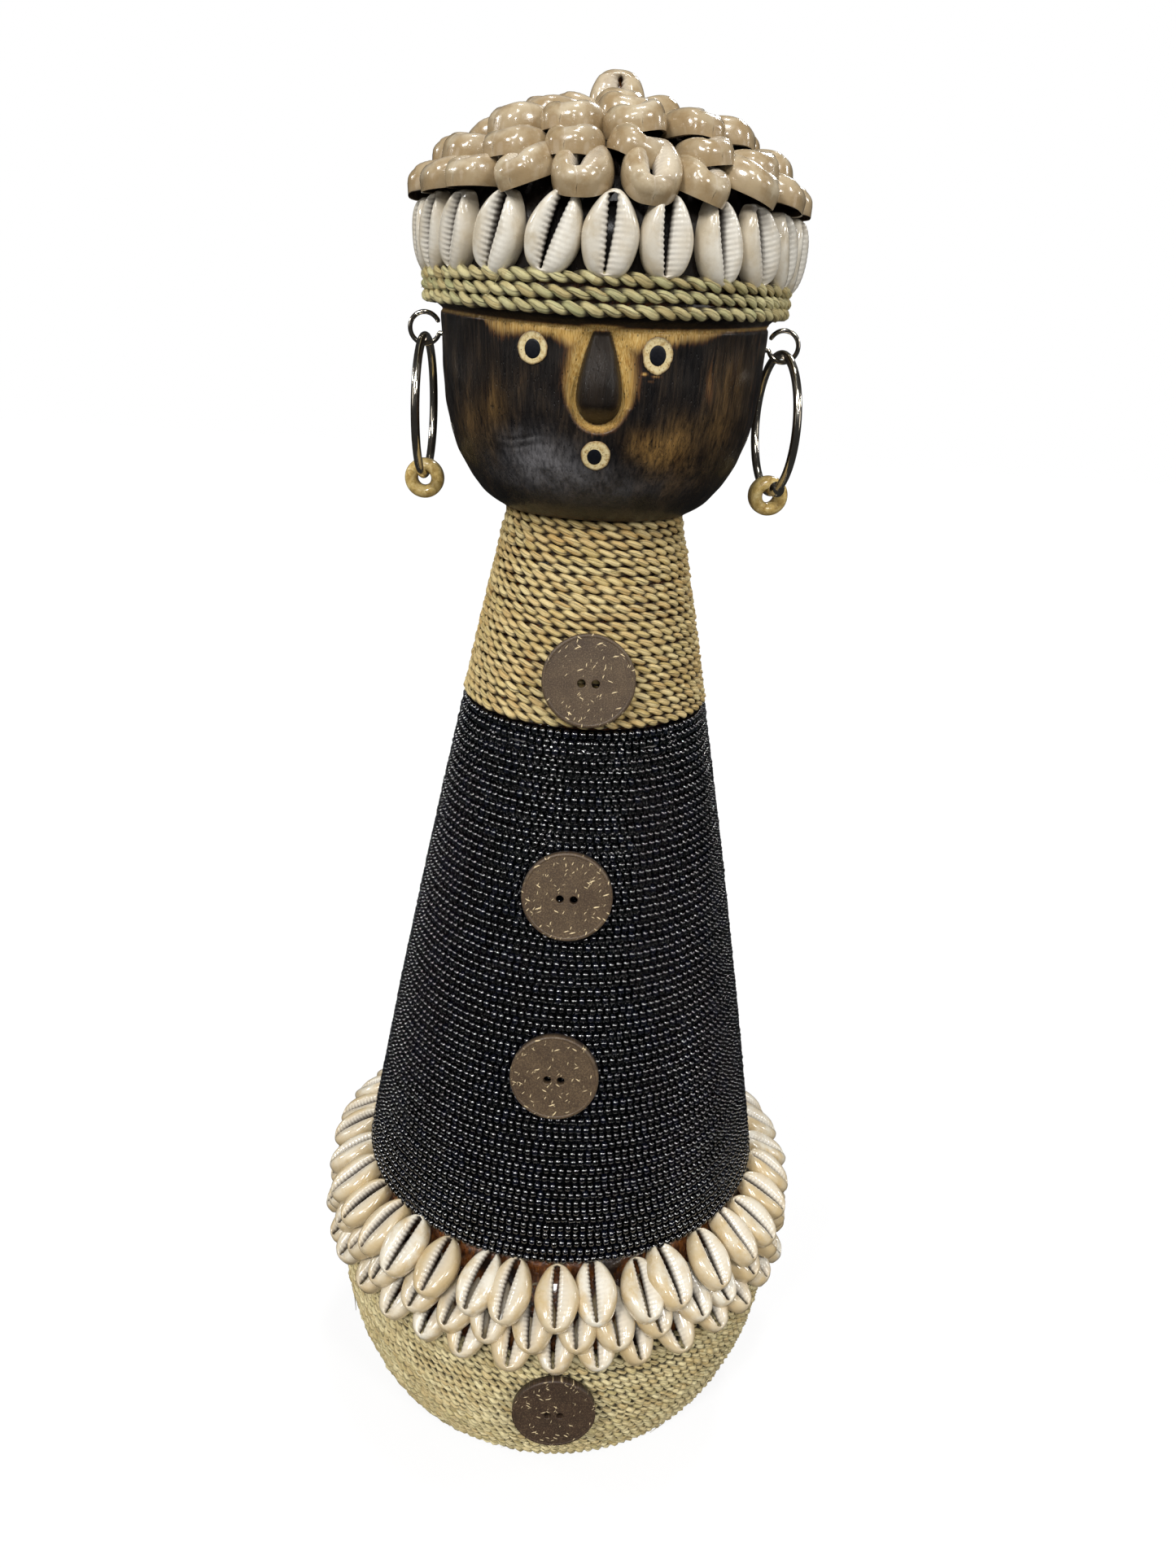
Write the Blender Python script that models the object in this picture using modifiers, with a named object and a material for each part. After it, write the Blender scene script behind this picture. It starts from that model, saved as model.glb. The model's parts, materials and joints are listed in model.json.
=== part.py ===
"""Cowrie, bead and rope fertility doll, built as separate pieces.

Units are metres, +Z is up and the face looks along -Y.
The underside of the base rests on z = 0 and the axis of the doll is the Z axis.
"""
import math

import bmesh
import bpy
from mathutils import Matrix, Vector

MM = 0.001
GAP = 0.35

# heights of the main pieces, millimetres above the ground
BASE_TOP = 78.6
CONE_BOTTOM = 79.1
BEAD_TOP = 235.1
NECK_ROPE_BOTTOM = 235.5
CONE_TOP = 289.4
HEAD_BOTTOM = 289.8
BROW_Z = 337.2
BAND_BOTTOM = 339.1
BAND_TOP = 347.3
ROW_BOTTOM = 347.6
CROWN_EDGE_Z = 361.2

# radii, millimetres
CONE_FOOT_RADIUS = 64.8
CONE_NECK_RADIUS = 24.4
CONE_BULGE = 1.3
BEAD_THICKNESS = 2.4
ROPE_THICKNESS = 2.6
CAP_RADIUS = 44.6
BAND_RADIUS = 48.0
WALL_RADIUS = 64.2

# turned and carved wood
DOWEL_RADIUS = 8.0
DOWEL_BOTTOM = 270.0
DOWEL_TOP = 309.0
SPIGOT_RADIUS = 14.0
SPIGOT_BOTTOM = 56.0
SPIGOT_TOP = 101.0
HOLE_CLEARANCE = 0.5
TURNED_STEPS = 32
HOLE_OVERRUN = 0.6

# shells
ROW_SHELLS = 22
ROW_SHELL = (17.0, 11.2, 5.0)
COLLAR_SHELLS = 36
COLLAR_SHELL = (15.2, 11.4, 5.2)

# buttons
BUTTON_DIAMETER = 25.0
BUTTON_THICKNESS = 2.8
BUTTON_HOLE = 2.2
BUTTON_HOLE_SPACING = 4.2

# earrings
EYE_RADIUS = 4.0
EYE_WIRE = 1.2
HOOP_RADIUS = 17.9
HOOP_WIRE = 2.2
BEAD_OUTER = 11.0
BEAD_HOLE = 5.0
BEAD_LENGTH = 5.0
BALL_DIAMETER = 4.0
LEFT_EYE = (-47.6, 0.0, 334.0)
RIGHT_EYE = (47.8, 0.0, 334.3)
RIGHT_HOOP_TURN = 10.0
BALL_ANGLE = 24.0


def clear_scene():
    for item in list(bpy.data.objects):
        bpy.data.objects.remove(item, do_unlink=True)
    for item in list(bpy.data.collections):
        bpy.data.collections.remove(item)


clear_scene()
PARTS = bpy.data.collections.new("fertility_doll")
CUTTERS = bpy.data.collections.new("cutters")
bpy.context.scene.collection.children.link(PARTS)
bpy.context.scene.collection.children.link(CUTTERS)
CUTTERS.hide_render = True


def material(name, colour, roughness, metallic=0.0):
    mat = bpy.data.materials.new(name)
    mat.use_nodes = True
    shader = mat.node_tree.nodes["Principled BSDF"]
    shader.inputs["Base Color"].default_value = (*colour, 1.0)
    shader.inputs["Roughness"].default_value = roughness
    shader.inputs["Metallic"].default_value = metallic
    return mat


BURNT_WOOD = material("burnt_wood", (0.045, 0.026, 0.016), 0.4)
BROWN_WOOD = material("brown_wood", (0.22, 0.085, 0.025), 0.35)
STRAW = material("straw_rope", (0.42, 0.33, 0.15), 0.75)
PALE_STRAW = material("pale_straw_rope", (0.46, 0.41, 0.22), 0.8)
BLACK_GLASS = material("black_glass_beads", (0.006, 0.007, 0.014), 0.12)
SHELL = material("cowrie_shell", (0.68, 0.58, 0.44), 0.25)
WHITE_SHELL = material("white_cowrie_shell", (0.78, 0.73, 0.63), 0.25)
COCONUT = material("coconut_shell", (0.12, 0.075, 0.055), 0.5)
BONE = material("pale_inlay", (0.72, 0.6, 0.33), 0.5)
DARK_INLAY = material("dark_inlay", (0.008, 0.009, 0.013), 0.4)
STEEL = material("plated_steel", (0.55, 0.54, 0.52), 0.15, 1.0)
OCHRE = material("ochre_bead", (0.42, 0.27, 0.08), 0.3)


def new_object(name, mesh, mat, cutter=False):
    obj = bpy.data.objects.new(name, mesh)
    if mat is not None:
        mesh.materials.append(mat)
    (CUTTERS if cutter else PARTS).objects.link(obj)
    if cutter:
        obj.hide_render = True
        obj.display_type = "WIRE"
    return obj


def face_outward(bm):
    """Turn every face to the outside of its closed body."""
    bmesh.ops.recalc_face_normals(bm, faces=bm.faces[:])
    if bm.calc_volume(signed=True) < 0.0:
        bmesh.ops.reverse_faces(bm, faces=bm.faces[:])


def from_bmesh(name, bm, mat, cutter=False, smooth=True):
    face_outward(bm)
    mesh = bpy.data.meshes.new(name)
    bm.to_mesh(mesh)
    bm.free()
    for face in mesh.polygons:
        face.use_smooth = smooth
    return new_object(name, mesh, mat, cutter)


def apply_modifiers(obj):
    graph = bpy.context.evaluated_depsgraph_get()
    graph.update()
    old = obj.data
    mesh = bpy.data.meshes.new_from_object(obj.evaluated_get(graph))
    obj.modifiers.clear()
    obj.data = mesh
    if old.users == 0:
        bpy.data.meshes.remove(old)


def turned(name, profile, mat, steps, closed=False, cutter=False):
    """Turn a profile of (radius, height) points about the Z axis."""
    bm = bmesh.new()
    points = [bm.verts.new((radius * MM, 0.0, height * MM)) for radius, height in profile]
    for first, second in zip(points, points[1:]):
        bm.edges.new((first, second))
    if closed:
        bm.edges.new((points[-1], points[0]))
    mesh = bpy.data.meshes.new(name)
    bm.to_mesh(mesh)
    bm.free()
    obj = new_object(name, mesh, mat, cutter)
    screw = obj.modifiers.new("turn", "SCREW")
    screw.axis = "Z"
    screw.angle = 2.0 * math.pi
    screw.steps = steps
    screw.render_steps = steps
    screw.use_merge_vertices = True
    screw.merge_threshold = 0.00001
    screw.use_smooth_shade = True
    apply_modifiers(obj)
    bm = bmesh.new()
    bm.from_mesh(obj.data)
    bmesh.ops.remove_doubles(bm, verts=bm.verts[:], dist=0.000005)
    face_outward(bm)
    bm.to_mesh(obj.data)
    bm.free()
    return obj


def boolean(obj, other, operation, overlapping=False):
    """Add to or cut the object with another one, which is then removed."""
    mod = obj.modifiers.new("boolean", "BOOLEAN")
    mod.operation = operation
    mod.solver = "EXACT"
    mod.use_self = overlapping
    mod.object = other
    apply_modifiers(obj)
    if operation == "UNION":
        bpy.data.objects.remove(other, do_unlink=True)


def cut(obj, other):
    boolean(obj, other, "DIFFERENCE")


def join(obj, other, overlapping=False):
    boolean(obj, other, "UNION", overlapping)


def cylinder(name, radius, depth, matrix, segments, mat=None, cutter=False, bevel=0.0):
    bm = bmesh.new()
    bmesh.ops.create_cone(
        bm,
        cap_ends=True,
        segments=segments,
        radius1=radius * MM,
        radius2=radius * MM,
        depth=depth * MM,
    )
    if bevel > 0.0:
        rims = [edge for edge in bm.edges if abs(edge.verts[0].co.z - edge.verts[1].co.z) < 1e-7]
        bmesh.ops.bevel(bm, geom=rims, offset=bevel * MM, segments=1, affect="EDGES")
    bm.transform(matrix)
    return from_bmesh(name, bm, mat, cutter)


def ellipsoid(name, size, matrix, mat=None, cutter=False, segments=16, rings=10):
    bm = bmesh.new()
    bmesh.ops.create_uvsphere(bm, u_segments=segments, v_segments=rings, radius=1.0)
    bm.transform(matrix @ Matrix.Diagonal((size[0] * MM, size[1] * MM, size[2] * MM, 1.0)))
    return from_bmesh(name, bm, mat, cutter)


def frame(origin, along, outward):
    """Matrix whose X axis runs along the shell and whose Z axis points outward."""
    x_axis = Vector(along).normalized()
    z_axis = Vector(outward)
    z_axis = (z_axis - z_axis.dot(x_axis) * x_axis).normalized()
    y_axis = z_axis.cross(x_axis)
    matrix = Matrix((x_axis, y_axis, z_axis)).transposed().to_4x4()
    matrix.translation = Vector(origin) * MM
    return matrix


def shell_bmesh(size, around=6, lengthwise=4, taper=0.16):
    """A cowrie with its back sliced off, lying on its cut side and tapered towards +X."""
    length, width, height = size
    bm = bmesh.new()
    bmesh.ops.create_uvsphere(bm, u_segments=around, v_segments=lengthwise, radius=1.0)
    bmesh.ops.rotate(bm, verts=bm.verts[:], matrix=Matrix.Rotation(math.pi / 2, 3, "Z"))
    bmesh.ops.rotate(bm, verts=bm.verts[:], matrix=Matrix.Rotation(math.pi / 2, 3, "Y"))
    bmesh.ops.bisect_plane(
        bm,
        geom=bm.verts[:] + bm.edges[:] + bm.faces[:],
        dist=0.0001,
        plane_co=(0.0, 0.0, 0.0),
        plane_no=(0.0, 0.0, 1.0),
        clear_inner=True,
    )
    rim = [edge for edge in bm.edges if edge.is_boundary]
    bmesh.ops.contextual_create(bm, geom=rim)
    for vert in bm.verts:
        share = 1.0 - taper * vert.co.x
        vert.co.x *= length / 2 * MM
        vert.co.y *= width / 2 * share * MM
        vert.co.z *= height / 0.87 * MM
    return bm


def shell_mesh_matrix(angle, radius, height, dip, size):
    """Place a shell by its outer end, dipping below the horizontal as it runs outward."""
    turn = Matrix.Rotation(math.radians(angle), 3, "Z")
    out = Vector((0.0, -1.0, 0.0))
    along = out * math.cos(dip) + Vector((0.0, 0.0, -math.sin(dip)))
    normal = out * math.sin(dip) + Vector((0.0, 0.0, math.cos(dip)))
    centre = out * radius + Vector((0.0, 0.0, height)) - along * (size[0] / 2)
    centre = centre - normal * (size[2] / 2)
    return frame(turn @ centre, turn @ along, turn @ normal)


def shell_tier(name, count, start, radius, height, dip, size, ring, mat, lengthwise, taper):
    """A ring of radiating shells held on one narrow bed ring."""
    all_shells = bmesh.new()
    for index in range(count):
        angle = start + 360.0 * index / count
        one = shell_bmesh(size, 6, lengthwise, taper)
        one.transform(shell_mesh_matrix(angle, radius, height, math.radians(dip), size))
        mesh = bpy.data.meshes.new("one_shell")
        one.to_mesh(mesh)
        one.free()
        all_shells.from_mesh(mesh)
        bpy.data.meshes.remove(mesh)
    shells = from_bmesh(name + "_shells", all_shells, mat)
    inner, outer, low, high = ring
    profile = [(outer, high), (outer, low), (inner, low), (inner, high)]
    bed = turned(name, profile, mat, max(16, count), closed=True)
    join(bed, shells, overlapping=True)
    return bed


def cone_radius(height):
    """Outside radius of the wound cone at a height."""
    share = (height - CONE_BOTTOM) / (CONE_TOP - CONE_BOTTOM)
    straight = CONE_FOOT_RADIUS + (CONE_NECK_RADIUS - CONE_FOOT_RADIUS) * share
    return straight + CONE_BULGE * 4.0 * share * (1.0 - share)


def cone_slope(height):
    """Angle by which the wound surface leans back from the vertical."""
    change = cone_radius(height - 1.0) - cone_radius(height + 1.0)
    return math.atan2(change, 2.0)


def steps_between(low, high, count):
    return [low + (high - low) * index / count for index in range(count + 1)]


def sleeve(name, low, high, thickness, mat, rows):
    """A winding around the cone, thickness millimetres deep."""
    heights = steps_between(low, high, rows)
    outside = [(cone_radius(height), height) for height in reversed(heights)]
    inside = [(cone_radius(height) - thickness, height) for height in heights]
    return turned(name, outside + inside, mat, TURNED_STEPS, closed=True)


# ---------------------------------------------------------------- base
BASE_OUTSIDE = [
    (62.6, 0.3),
    (66.6, 7.0),
    (70.0, 16.0),
    (72.7, 29.0),
    (73.8, 43.0),
    (72.6, 52.0),
]


def build_base():
    inside = [(radius - ROPE_THICKNESS, height) for radius, height in BASE_OUTSIDE]
    core = [(radius - ROPE_THICKNESS - GAP, height) for radius, height in BASE_OUTSIDE]
    core[0] = (core[0][0] - 0.4, 0.0)
    profile = [(0.0, BASE_TOP), (WALL_RADIUS, BASE_TOP), (WALL_RADIUS, 57.0)]
    profile = profile + list(reversed(core)) + [(0.0, 0.0)]
    base = turned("base_core", profile, BROWN_WOOD, TURNED_STEPS)
    rope = list(reversed(BASE_OUTSIDE)) + inside
    turned("base_rope", rope, PALE_STRAW, TURNED_STEPS, closed=True)
    depth = BASE_TOP + 1.0 - SPIGOT_BOTTOM + HOLE_OVERRUN
    middle = Matrix.Translation((0.0, 0.0, (BASE_TOP + 1.0 - depth / 2) * MM))
    hole = cylinder("base_hole", SPIGOT_RADIUS + HOLE_CLEARANCE, depth, middle, 24, cutter=True)
    cut(base, hole)


# ---------------------------------------------------------------- cone
def build_cone():
    heights = steps_between(CONE_BOTTOM, CONE_TOP, 5)
    skin = BEAD_THICKNESS + GAP + 0.2
    outside = [(cone_radius(height) - skin, height) for height in reversed(heights)]
    profile = [(0.0, CONE_TOP)] + outside + [(0.0, CONE_BOTTOM)]
    cone = turned("body_core", profile, BROWN_WOOD, TURNED_STEPS)
    top_depth = CONE_TOP + 1.0 - DOWEL_BOTTOM + HOLE_OVERRUN
    middle = Matrix.Translation((0.0, 0.0, (CONE_TOP + 1.0 - top_depth / 2) * MM))
    hole = cylinder("neck_hole", DOWEL_RADIUS + HOLE_CLEARANCE, top_depth, middle, 20, cutter=True)
    cut(cone, hole)
    low_depth = SPIGOT_TOP + HOLE_OVERRUN - CONE_BOTTOM + 1.0
    middle = Matrix.Translation((0.0, 0.0, (CONE_BOTTOM - 1.0 + low_depth / 2) * MM))
    hole = cylinder("foot_hole", SPIGOT_RADIUS + HOLE_CLEARANCE, low_depth, middle, 24, cutter=True)
    cut(cone, hole)
    sleeve("bead_winding", CONE_BOTTOM, BEAD_TOP, BEAD_THICKNESS, BLACK_GLASS, 4)
    sleeve("neck_rope", NECK_ROPE_BOTTOM, CONE_TOP, ROPE_THICKNESS - 0.2, STRAW, 2)
    length = DOWEL_TOP - DOWEL_BOTTOM
    middle = Matrix.Translation((0.0, 0.0, (DOWEL_BOTTOM + length / 2) * MM))
    cylinder("neck_dowel", DOWEL_RADIUS, length, middle, 20, BROWN_WOOD)
    length = SPIGOT_TOP - SPIGOT_BOTTOM
    middle = Matrix.Translation((0.0, 0.0, (SPIGOT_BOTTOM + length / 2) * MM))
    cylinder("base_dowel", SPIGOT_RADIUS, length, middle, 24, BROWN_WOOD)


# ---------------------------------------------------------------- head
HEAD_OUTSIDE = [
    (24.6, HEAD_BOTTOM),
    (29.6, 293.0),
    (33.6, 297.5),
    (37.2, 303.5),
    (39.9, 309.5),
    (41.4, 316.5),
    (42.2, 324.0),
    (42.6, 331.0),
    (43.1, BROW_Z),
    (44.3, 338.6),
    (CAP_RADIUS, BAND_BOTTOM),
    (CAP_RADIUS, CROWN_EDGE_Z),
]
CROWN_DOME = [(36.0, 365.0), (30.0, 370.6), (21.0, 377.0), (11.0, 381.6), (0.0, 383.2)]
LEFT_PUPIL = (-16.6, 331.4)
RIGHT_PUPIL = (13.0, 331.2)
MOUTH = (-0.5, 307.4)


def head_radius(height):
    """Outside radius of the carved bowl at a height."""
    for (low_radius, low), (high_radius, high) in zip(HEAD_OUTSIDE, HEAD_OUTSIDE[1:]):
        if low <= height <= high:
            return low_radius + (high_radius - low_radius) * (height - low) / (high - low)
    return CAP_RADIUS


def face_point(side, height):
    """Point and outward direction on the front of the bowl."""
    radius = head_radius(height)
    slope = (head_radius(height + 2.0) - head_radius(height - 2.0)) / 4.0
    depth = math.sqrt(radius * radius - side * side)
    normal = Vector((side, -depth, -slope * radius)).normalized()
    return Vector((side, -depth, height)), normal


def inlay(name, side, height, disc, pupil, head):
    """A pale ring with a dark centre, let into the head so that it stands just proud."""
    point, normal = face_point(side, height)
    depth = 1.6
    seat = frame(point - normal * 0.5, (1.0, 0.0, 0.0), normal)
    pocket = seat @ Matrix.Translation((0.0, 0.0, 1.0 * MM))
    hole = cylinder(name + "_pocket", disc + GAP, depth + 2.0, pocket, 20, cutter=True)
    cut(head, hole)
    ring = cylinder(name + "_disc", disc, depth - GAP, seat, 20, BONE)
    centre = cylinder(name + "_centre", pupil + GAP, depth + 2.0, seat, 16, cutter=True)
    cut(ring, centre)
    cylinder(name + "_pupil", pupil, depth - GAP, seat, 16, DARK_INLAY)


def build_head():
    profile = list(reversed(CROWN_DOME)) + list(reversed(HEAD_OUTSIDE)) + [(0.0, HEAD_BOTTOM)]
    head = turned("head_block", profile, BURNT_WOOD, TURNED_STEPS)
    trench = ellipsoid(
        "nose_trench",
        (8.4, 4.2, 13.2),
        Matrix.Translation((-0.4 * MM, -43.0 * MM, 326.4 * MM)),
        cutter=True,
    )
    cut(head, trench)
    nose = ellipsoid(
        "nose",
        (5.7, 4.8, 10.9),
        Matrix.Translation((-0.4 * MM, -40.2 * MM, 325.8 * MM)),
        segments=12,
        rings=8,
    )
    join(head, nose)
    depth = DOWEL_TOP + HOLE_OVERRUN - HEAD_BOTTOM + 1.0
    middle = Matrix.Translation((0.0, 0.0, (HEAD_BOTTOM - 1.0 + depth / 2) * MM))
    hole = cylinder("head_hole", DOWEL_RADIUS + HOLE_CLEARANCE, depth, middle, 20, cutter=True)
    cut(head, hole)
    for eye, sign in ((LEFT_EYE, -1.0), (RIGHT_EYE, 1.0)):
        across = Matrix.Rotation(math.pi / 2, 4, "Y")
        place = Matrix.Translation((sign * 36.0 * MM, 0.0, (eye[2] - 1.2) * MM)) @ across
        hole = cylinder("shank_hole", EYE_WIRE / 2 + 0.4, 17.0, place, 12, cutter=True)
        cut(head, hole)
    inlay("left_eye", *LEFT_PUPIL, 3.9, 2.1, head)
    inlay("right_eye", *RIGHT_PUPIL, 4.0, 2.1, head)
    inlay("mouth", *MOUTH, 3.7, 1.9, head)


def build_band():
    """Three turns of rope around the head, seen as three rounded ridges."""
    turns = 3
    pitch = (BAND_TOP - BAND_BOTTOM) / turns
    outside = []
    for index in range(turns):
        top = BAND_TOP - index * pitch
        outside.append((BAND_RADIUS - 0.9, top - 0.05 * pitch))
        outside.append((BAND_RADIUS, top - 0.3 * pitch))
        outside.append((BAND_RADIUS, top - 0.7 * pitch))
    outside.append((BAND_RADIUS - 0.9, BAND_BOTTOM + 0.05 * pitch))
    inner = CAP_RADIUS + GAP
    profile = outside + [(inner, BAND_BOTTOM + 0.05 * pitch), (inner, BAND_TOP - 0.05 * pitch)]
    turned("head_rope_band", profile, STRAW, TURNED_STEPS, closed=True)


def build_row():
    """Upright shells around the cap, slot side outward and pointed end up."""
    for index in range(ROW_SHELLS):
        turn = Matrix.Rotation(2.0 * math.pi * index / ROW_SHELLS, 3, "Z")
        bm = shell_bmesh(ROW_SHELL, 6, 5)
        centre = Vector((0.0, -(CAP_RADIUS + GAP), ROW_BOTTOM + ROW_SHELL[0] / 2))
        place = frame(turn @ centre, (0.0, 0.0, 1.0), turn @ Vector((0.0, -1.0, 0.0)))
        bm.transform(place)
        shell = from_bmesh("row_shell_%02d" % (index + 1), bm, SHELL)
        slot = place @ Matrix.Translation((0.0, 0.0, (ROW_SHELL[2] + 0.6) * MM))
        blade = ellipsoid(
            "slot_%02d" % (index + 1), (7.2, 1.0, 2.2), slot, cutter=True, segments=4, rings=3
        )
        cut(shell, blade)


# count, first angle, outer radius, height of the outer end, dip, shell size, bed ring
CROWN_TIERS = [
    (20, 9.7, 51.0, 369.0, 9.0, (14.5, 10.9, 4.8), (37.0, 39.8, 365.6, 370.0)),
    (16, 8.0, 46.0, 376.3, 4.0, (15.0, 11.2, 4.8), (31.8, 34.6, 371.8, 376.2)),
    (13, 8.0, 36.5, 382.8, 5.0, (14.5, 10.8, 4.8), (22.8, 25.6, 378.4, 383.0)),
    (6, 5.0, 27.0, 387.9, 6.0, (14.5, 10.4, 3.8), (13.6, 16.4, 384.0, 388.9)),
    (4, 8.0, 16.0, 393.3, 8.0, (11.6, 9.6, 3.4), (5.0, 8.4, 391.8, 394.0)),
]
APEX_SHELL = (13.0, 10.0, 4.6)


def build_crown():
    for index, tier in enumerate(CROWN_TIERS):
        count, start, radius, height, dip, size, ring = tier
        name = "crown_tier_%d" % (index + 1)
        shell_tier(name, count, start, radius, height, dip, size, ring, SHELL, 4, -0.18)
    post = turned(
        "crown_apex_shell",
        [(0.0, 396.0), (2.2, 395.2), (3.9, 392.8), (3.9, 389.0), (3.0, 384.0), (0.0, 384.0)],
        SHELL,
        16,
    )
    return post


def build_collar():
    tilt = 30.5
    for index, (radius, height) in enumerate(((79.6, 69.4), (80.6, 62.0), (81.0, 54.6))):
        start = 0.0 if index != 1 else 180.0 / COLLAR_SHELLS
        ring = (WALL_RADIUS + 2 * GAP, WALL_RADIUS + 3.0, height + 4.4, height + 6.4)
        shell_tier(
            "collar_tier_%d" % (index + 1),
            COLLAR_SHELLS,
            start,
            radius,
            height,
            tilt,
            COLLAR_SHELL,
            ring,
            WHITE_SHELL,
            5 if index == 0 else 3,
            0.16,
        )


def button(name, side, height, surface, lean):
    """A two-hole button whose back stands off the surface; lean is its upward tilt."""
    out = Vector((side, -math.sqrt(surface * surface - side * side), 0.0)).normalized()
    normal = out * math.cos(lean) + Vector((0.0, 0.0, math.sin(lean)))
    across = Vector((-out.y, out.x, 0.0))
    origin = out * surface + Vector((0.0, 0.0, height))
    origin = origin + normal * (GAP + 0.1 + BUTTON_THICKNESS / 2)
    place = frame(origin, across, normal)
    disc = cylinder(name, BUTTON_DIAMETER / 2, BUTTON_THICKNESS, place, 24, COCONUT, bevel=0.5)
    for sign in (-1.0, 1.0):
        shift = Matrix.Translation((sign * BUTTON_HOLE_SPACING / 2 * MM, 0.0, 0.0))
        hole = cylinder(
            name + "_hole", BUTTON_HOLE / 2, BUTTON_THICKNESS + 2.0, place @ shift, 10, cutter=True
        )
        cut(disc, hole)


def build_buttons():
    for name, side, height in (
        ("button_1", 0.8, 249.0),
        ("button_2", -1.8, 191.0),
        ("button_3", -2.7, 139.0),
    ):
        button(name, side, height, cone_radius(height) + 0.1, cone_slope(height))
    button("button_4", 2.2, 34.2, 74.1, math.radians(2.0))


# ---------------------------------------------------------------- earrings
def swept_wire(name, points, wire, mat):
    """A round wire bent along a line of points."""
    curve = bpy.data.curves.new(name, "CURVE")
    curve.dimensions = "3D"
    curve.bevel_depth = wire / 2 * MM
    curve.bevel_resolution = 2
    curve.use_fill_caps = True
    spline = curve.splines.new("POLY")
    spline.points.add(len(points) - 1)
    for target, point in zip(spline.points, points):
        target.co = (point[0] * MM, point[1] * MM, point[2] * MM, 1.0)
    holder = bpy.data.objects.new(name + "_curve", curve)
    CUTTERS.objects.link(holder)
    graph = bpy.context.evaluated_depsgraph_get()
    graph.update()
    mesh = bpy.data.meshes.new_from_object(holder.evaluated_get(graph))
    bpy.data.objects.remove(holder, do_unlink=True)
    bpy.data.curves.remove(curve)
    bm = bmesh.new()
    bm.from_mesh(mesh)
    bpy.data.meshes.remove(mesh)
    bmesh.ops.remove_doubles(bm, verts=bm.verts[:], dist=0.000002)
    return from_bmesh(name, bm, mat)


def screw_eye(name, eye, sign):
    """Open loop in the XZ plane whose shank runs into the side of the head."""
    centre = Vector(eye)
    points = []
    start = -17.0
    finish = -330.0
    for index in range(25):
        angle = math.radians(start + (finish - start) * index / 24)
        offset = Vector((-sign * math.cos(angle), 0.0, math.sin(angle))) * EYE_RADIUS
        points.append(centre + offset)
    first = points[0]
    shank = [Vector((sign * 30.0, 0.0, first.z)), Vector((sign * 43.0, 0.0, first.z))]
    swept_wire(name, shank + points, EYE_WIRE, STEEL)


def hoop(name, eye, turn):
    """Ring hanging on the lowest point of the loop."""
    peg = Vector(eye) - Vector((0.0, 0.0, EYE_RADIUS))
    drop = HOOP_RADIUS - HOOP_WIRE / 2 - EYE_WIRE / 2 - 0.3
    centre = peg - Vector((0.0, 0.0, drop))
    bm = bmesh.new()
    bmesh.ops.create_circle(bm, segments=8, radius=HOOP_WIRE / 2 * MM, cap_ends=False)
    bmesh.ops.rotate(bm, verts=bm.verts[:], matrix=Matrix.Rotation(math.pi / 2, 3, "X"))
    bmesh.ops.translate(bm, verts=bm.verts[:], vec=(HOOP_RADIUS * MM, 0.0, 0.0))
    bmesh.ops.spin(
        bm,
        geom=bm.verts[:] + bm.edges[:],
        cent=(0.0, 0.0, 0.0),
        axis=(0.0, 0.0, 1.0),
        angle=2.0 * math.pi,
        steps=36,
        use_merge=True,
    )
    bmesh.ops.remove_doubles(bm, verts=bm.verts[:], dist=0.000005)
    spin = Matrix.Rotation(math.radians(turn), 4, "Z") @ Matrix.Rotation(math.pi / 2, 4, "Y")
    bm.transform(spin)
    ring = from_bmesh(name, bm, STEEL)
    ring.location = centre * MM
    return ring, centre, peg


def hoop_bead(name, centre, turn):
    """Short rounded bead whose hole hangs on the bottom of the hoop."""
    inner = BEAD_HOLE / 2
    outer = BEAD_OUTER / 2
    half = BEAD_LENGTH / 2
    middle = (inner + outer) / 2
    swell = (outer - inner) / 2
    profile = []
    for index in range(8):
        angle = math.pi / 2 - 2.0 * math.pi * index / 8
        profile.append((middle + swell * math.cos(angle), half * math.sin(angle)))
    bead = turned(name, profile, OCHRE, 16, closed=True)
    drop = HOOP_RADIUS + inner - HOOP_WIRE / 2 - 0.3
    spin = Matrix.Rotation(math.radians(turn), 4, "Z") @ Matrix.Rotation(math.pi / 2, 4, "X")
    bead.data.transform(Matrix.Translation((0.0, 0.0, -drop * MM)) @ spin)
    bead.location = centre * MM


def ball_tip(ring, turn):
    """Ball on the end of the right hoop, just in front of the bead."""
    angle = math.radians(BALL_ANGLE)
    local = Vector((0.0, -math.sin(angle), -math.cos(angle))) * HOOP_RADIUS
    local = Matrix.Rotation(math.radians(turn), 3, "Z") @ local
    place = ring.matrix_world.copy()
    place.translation = ring.location + local * MM
    ball = ellipsoid("ball", (BALL_DIAMETER / 2,) * 3, place, STEEL, segments=12, rings=8)
    join(ring, ball)


def rehang(ring, peg):
    """Move the origin of the hoop to the point that it swings about."""
    shift = ring.location - peg * MM
    ring.data.transform(Matrix.Translation(shift))
    ring.location = peg * MM


def build_earrings():
    screw_eye("left_screw_eye", LEFT_EYE, -1.0)
    screw_eye("right_screw_eye", RIGHT_EYE, 1.0)
    ring, centre, peg = hoop("left_hoop", LEFT_EYE, 0.0)
    hoop_bead("left_hoop_bead", centre, 0.0)
    rehang(ring, peg)
    ring, centre, peg = hoop("right_hoop", RIGHT_EYE, RIGHT_HOOP_TURN)
    hoop_bead("right_hoop_bead", centre, RIGHT_HOOP_TURN)
    bpy.context.view_layer.update()
    ball_tip(ring, RIGHT_HOOP_TURN)
    rehang(ring, peg)


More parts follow.
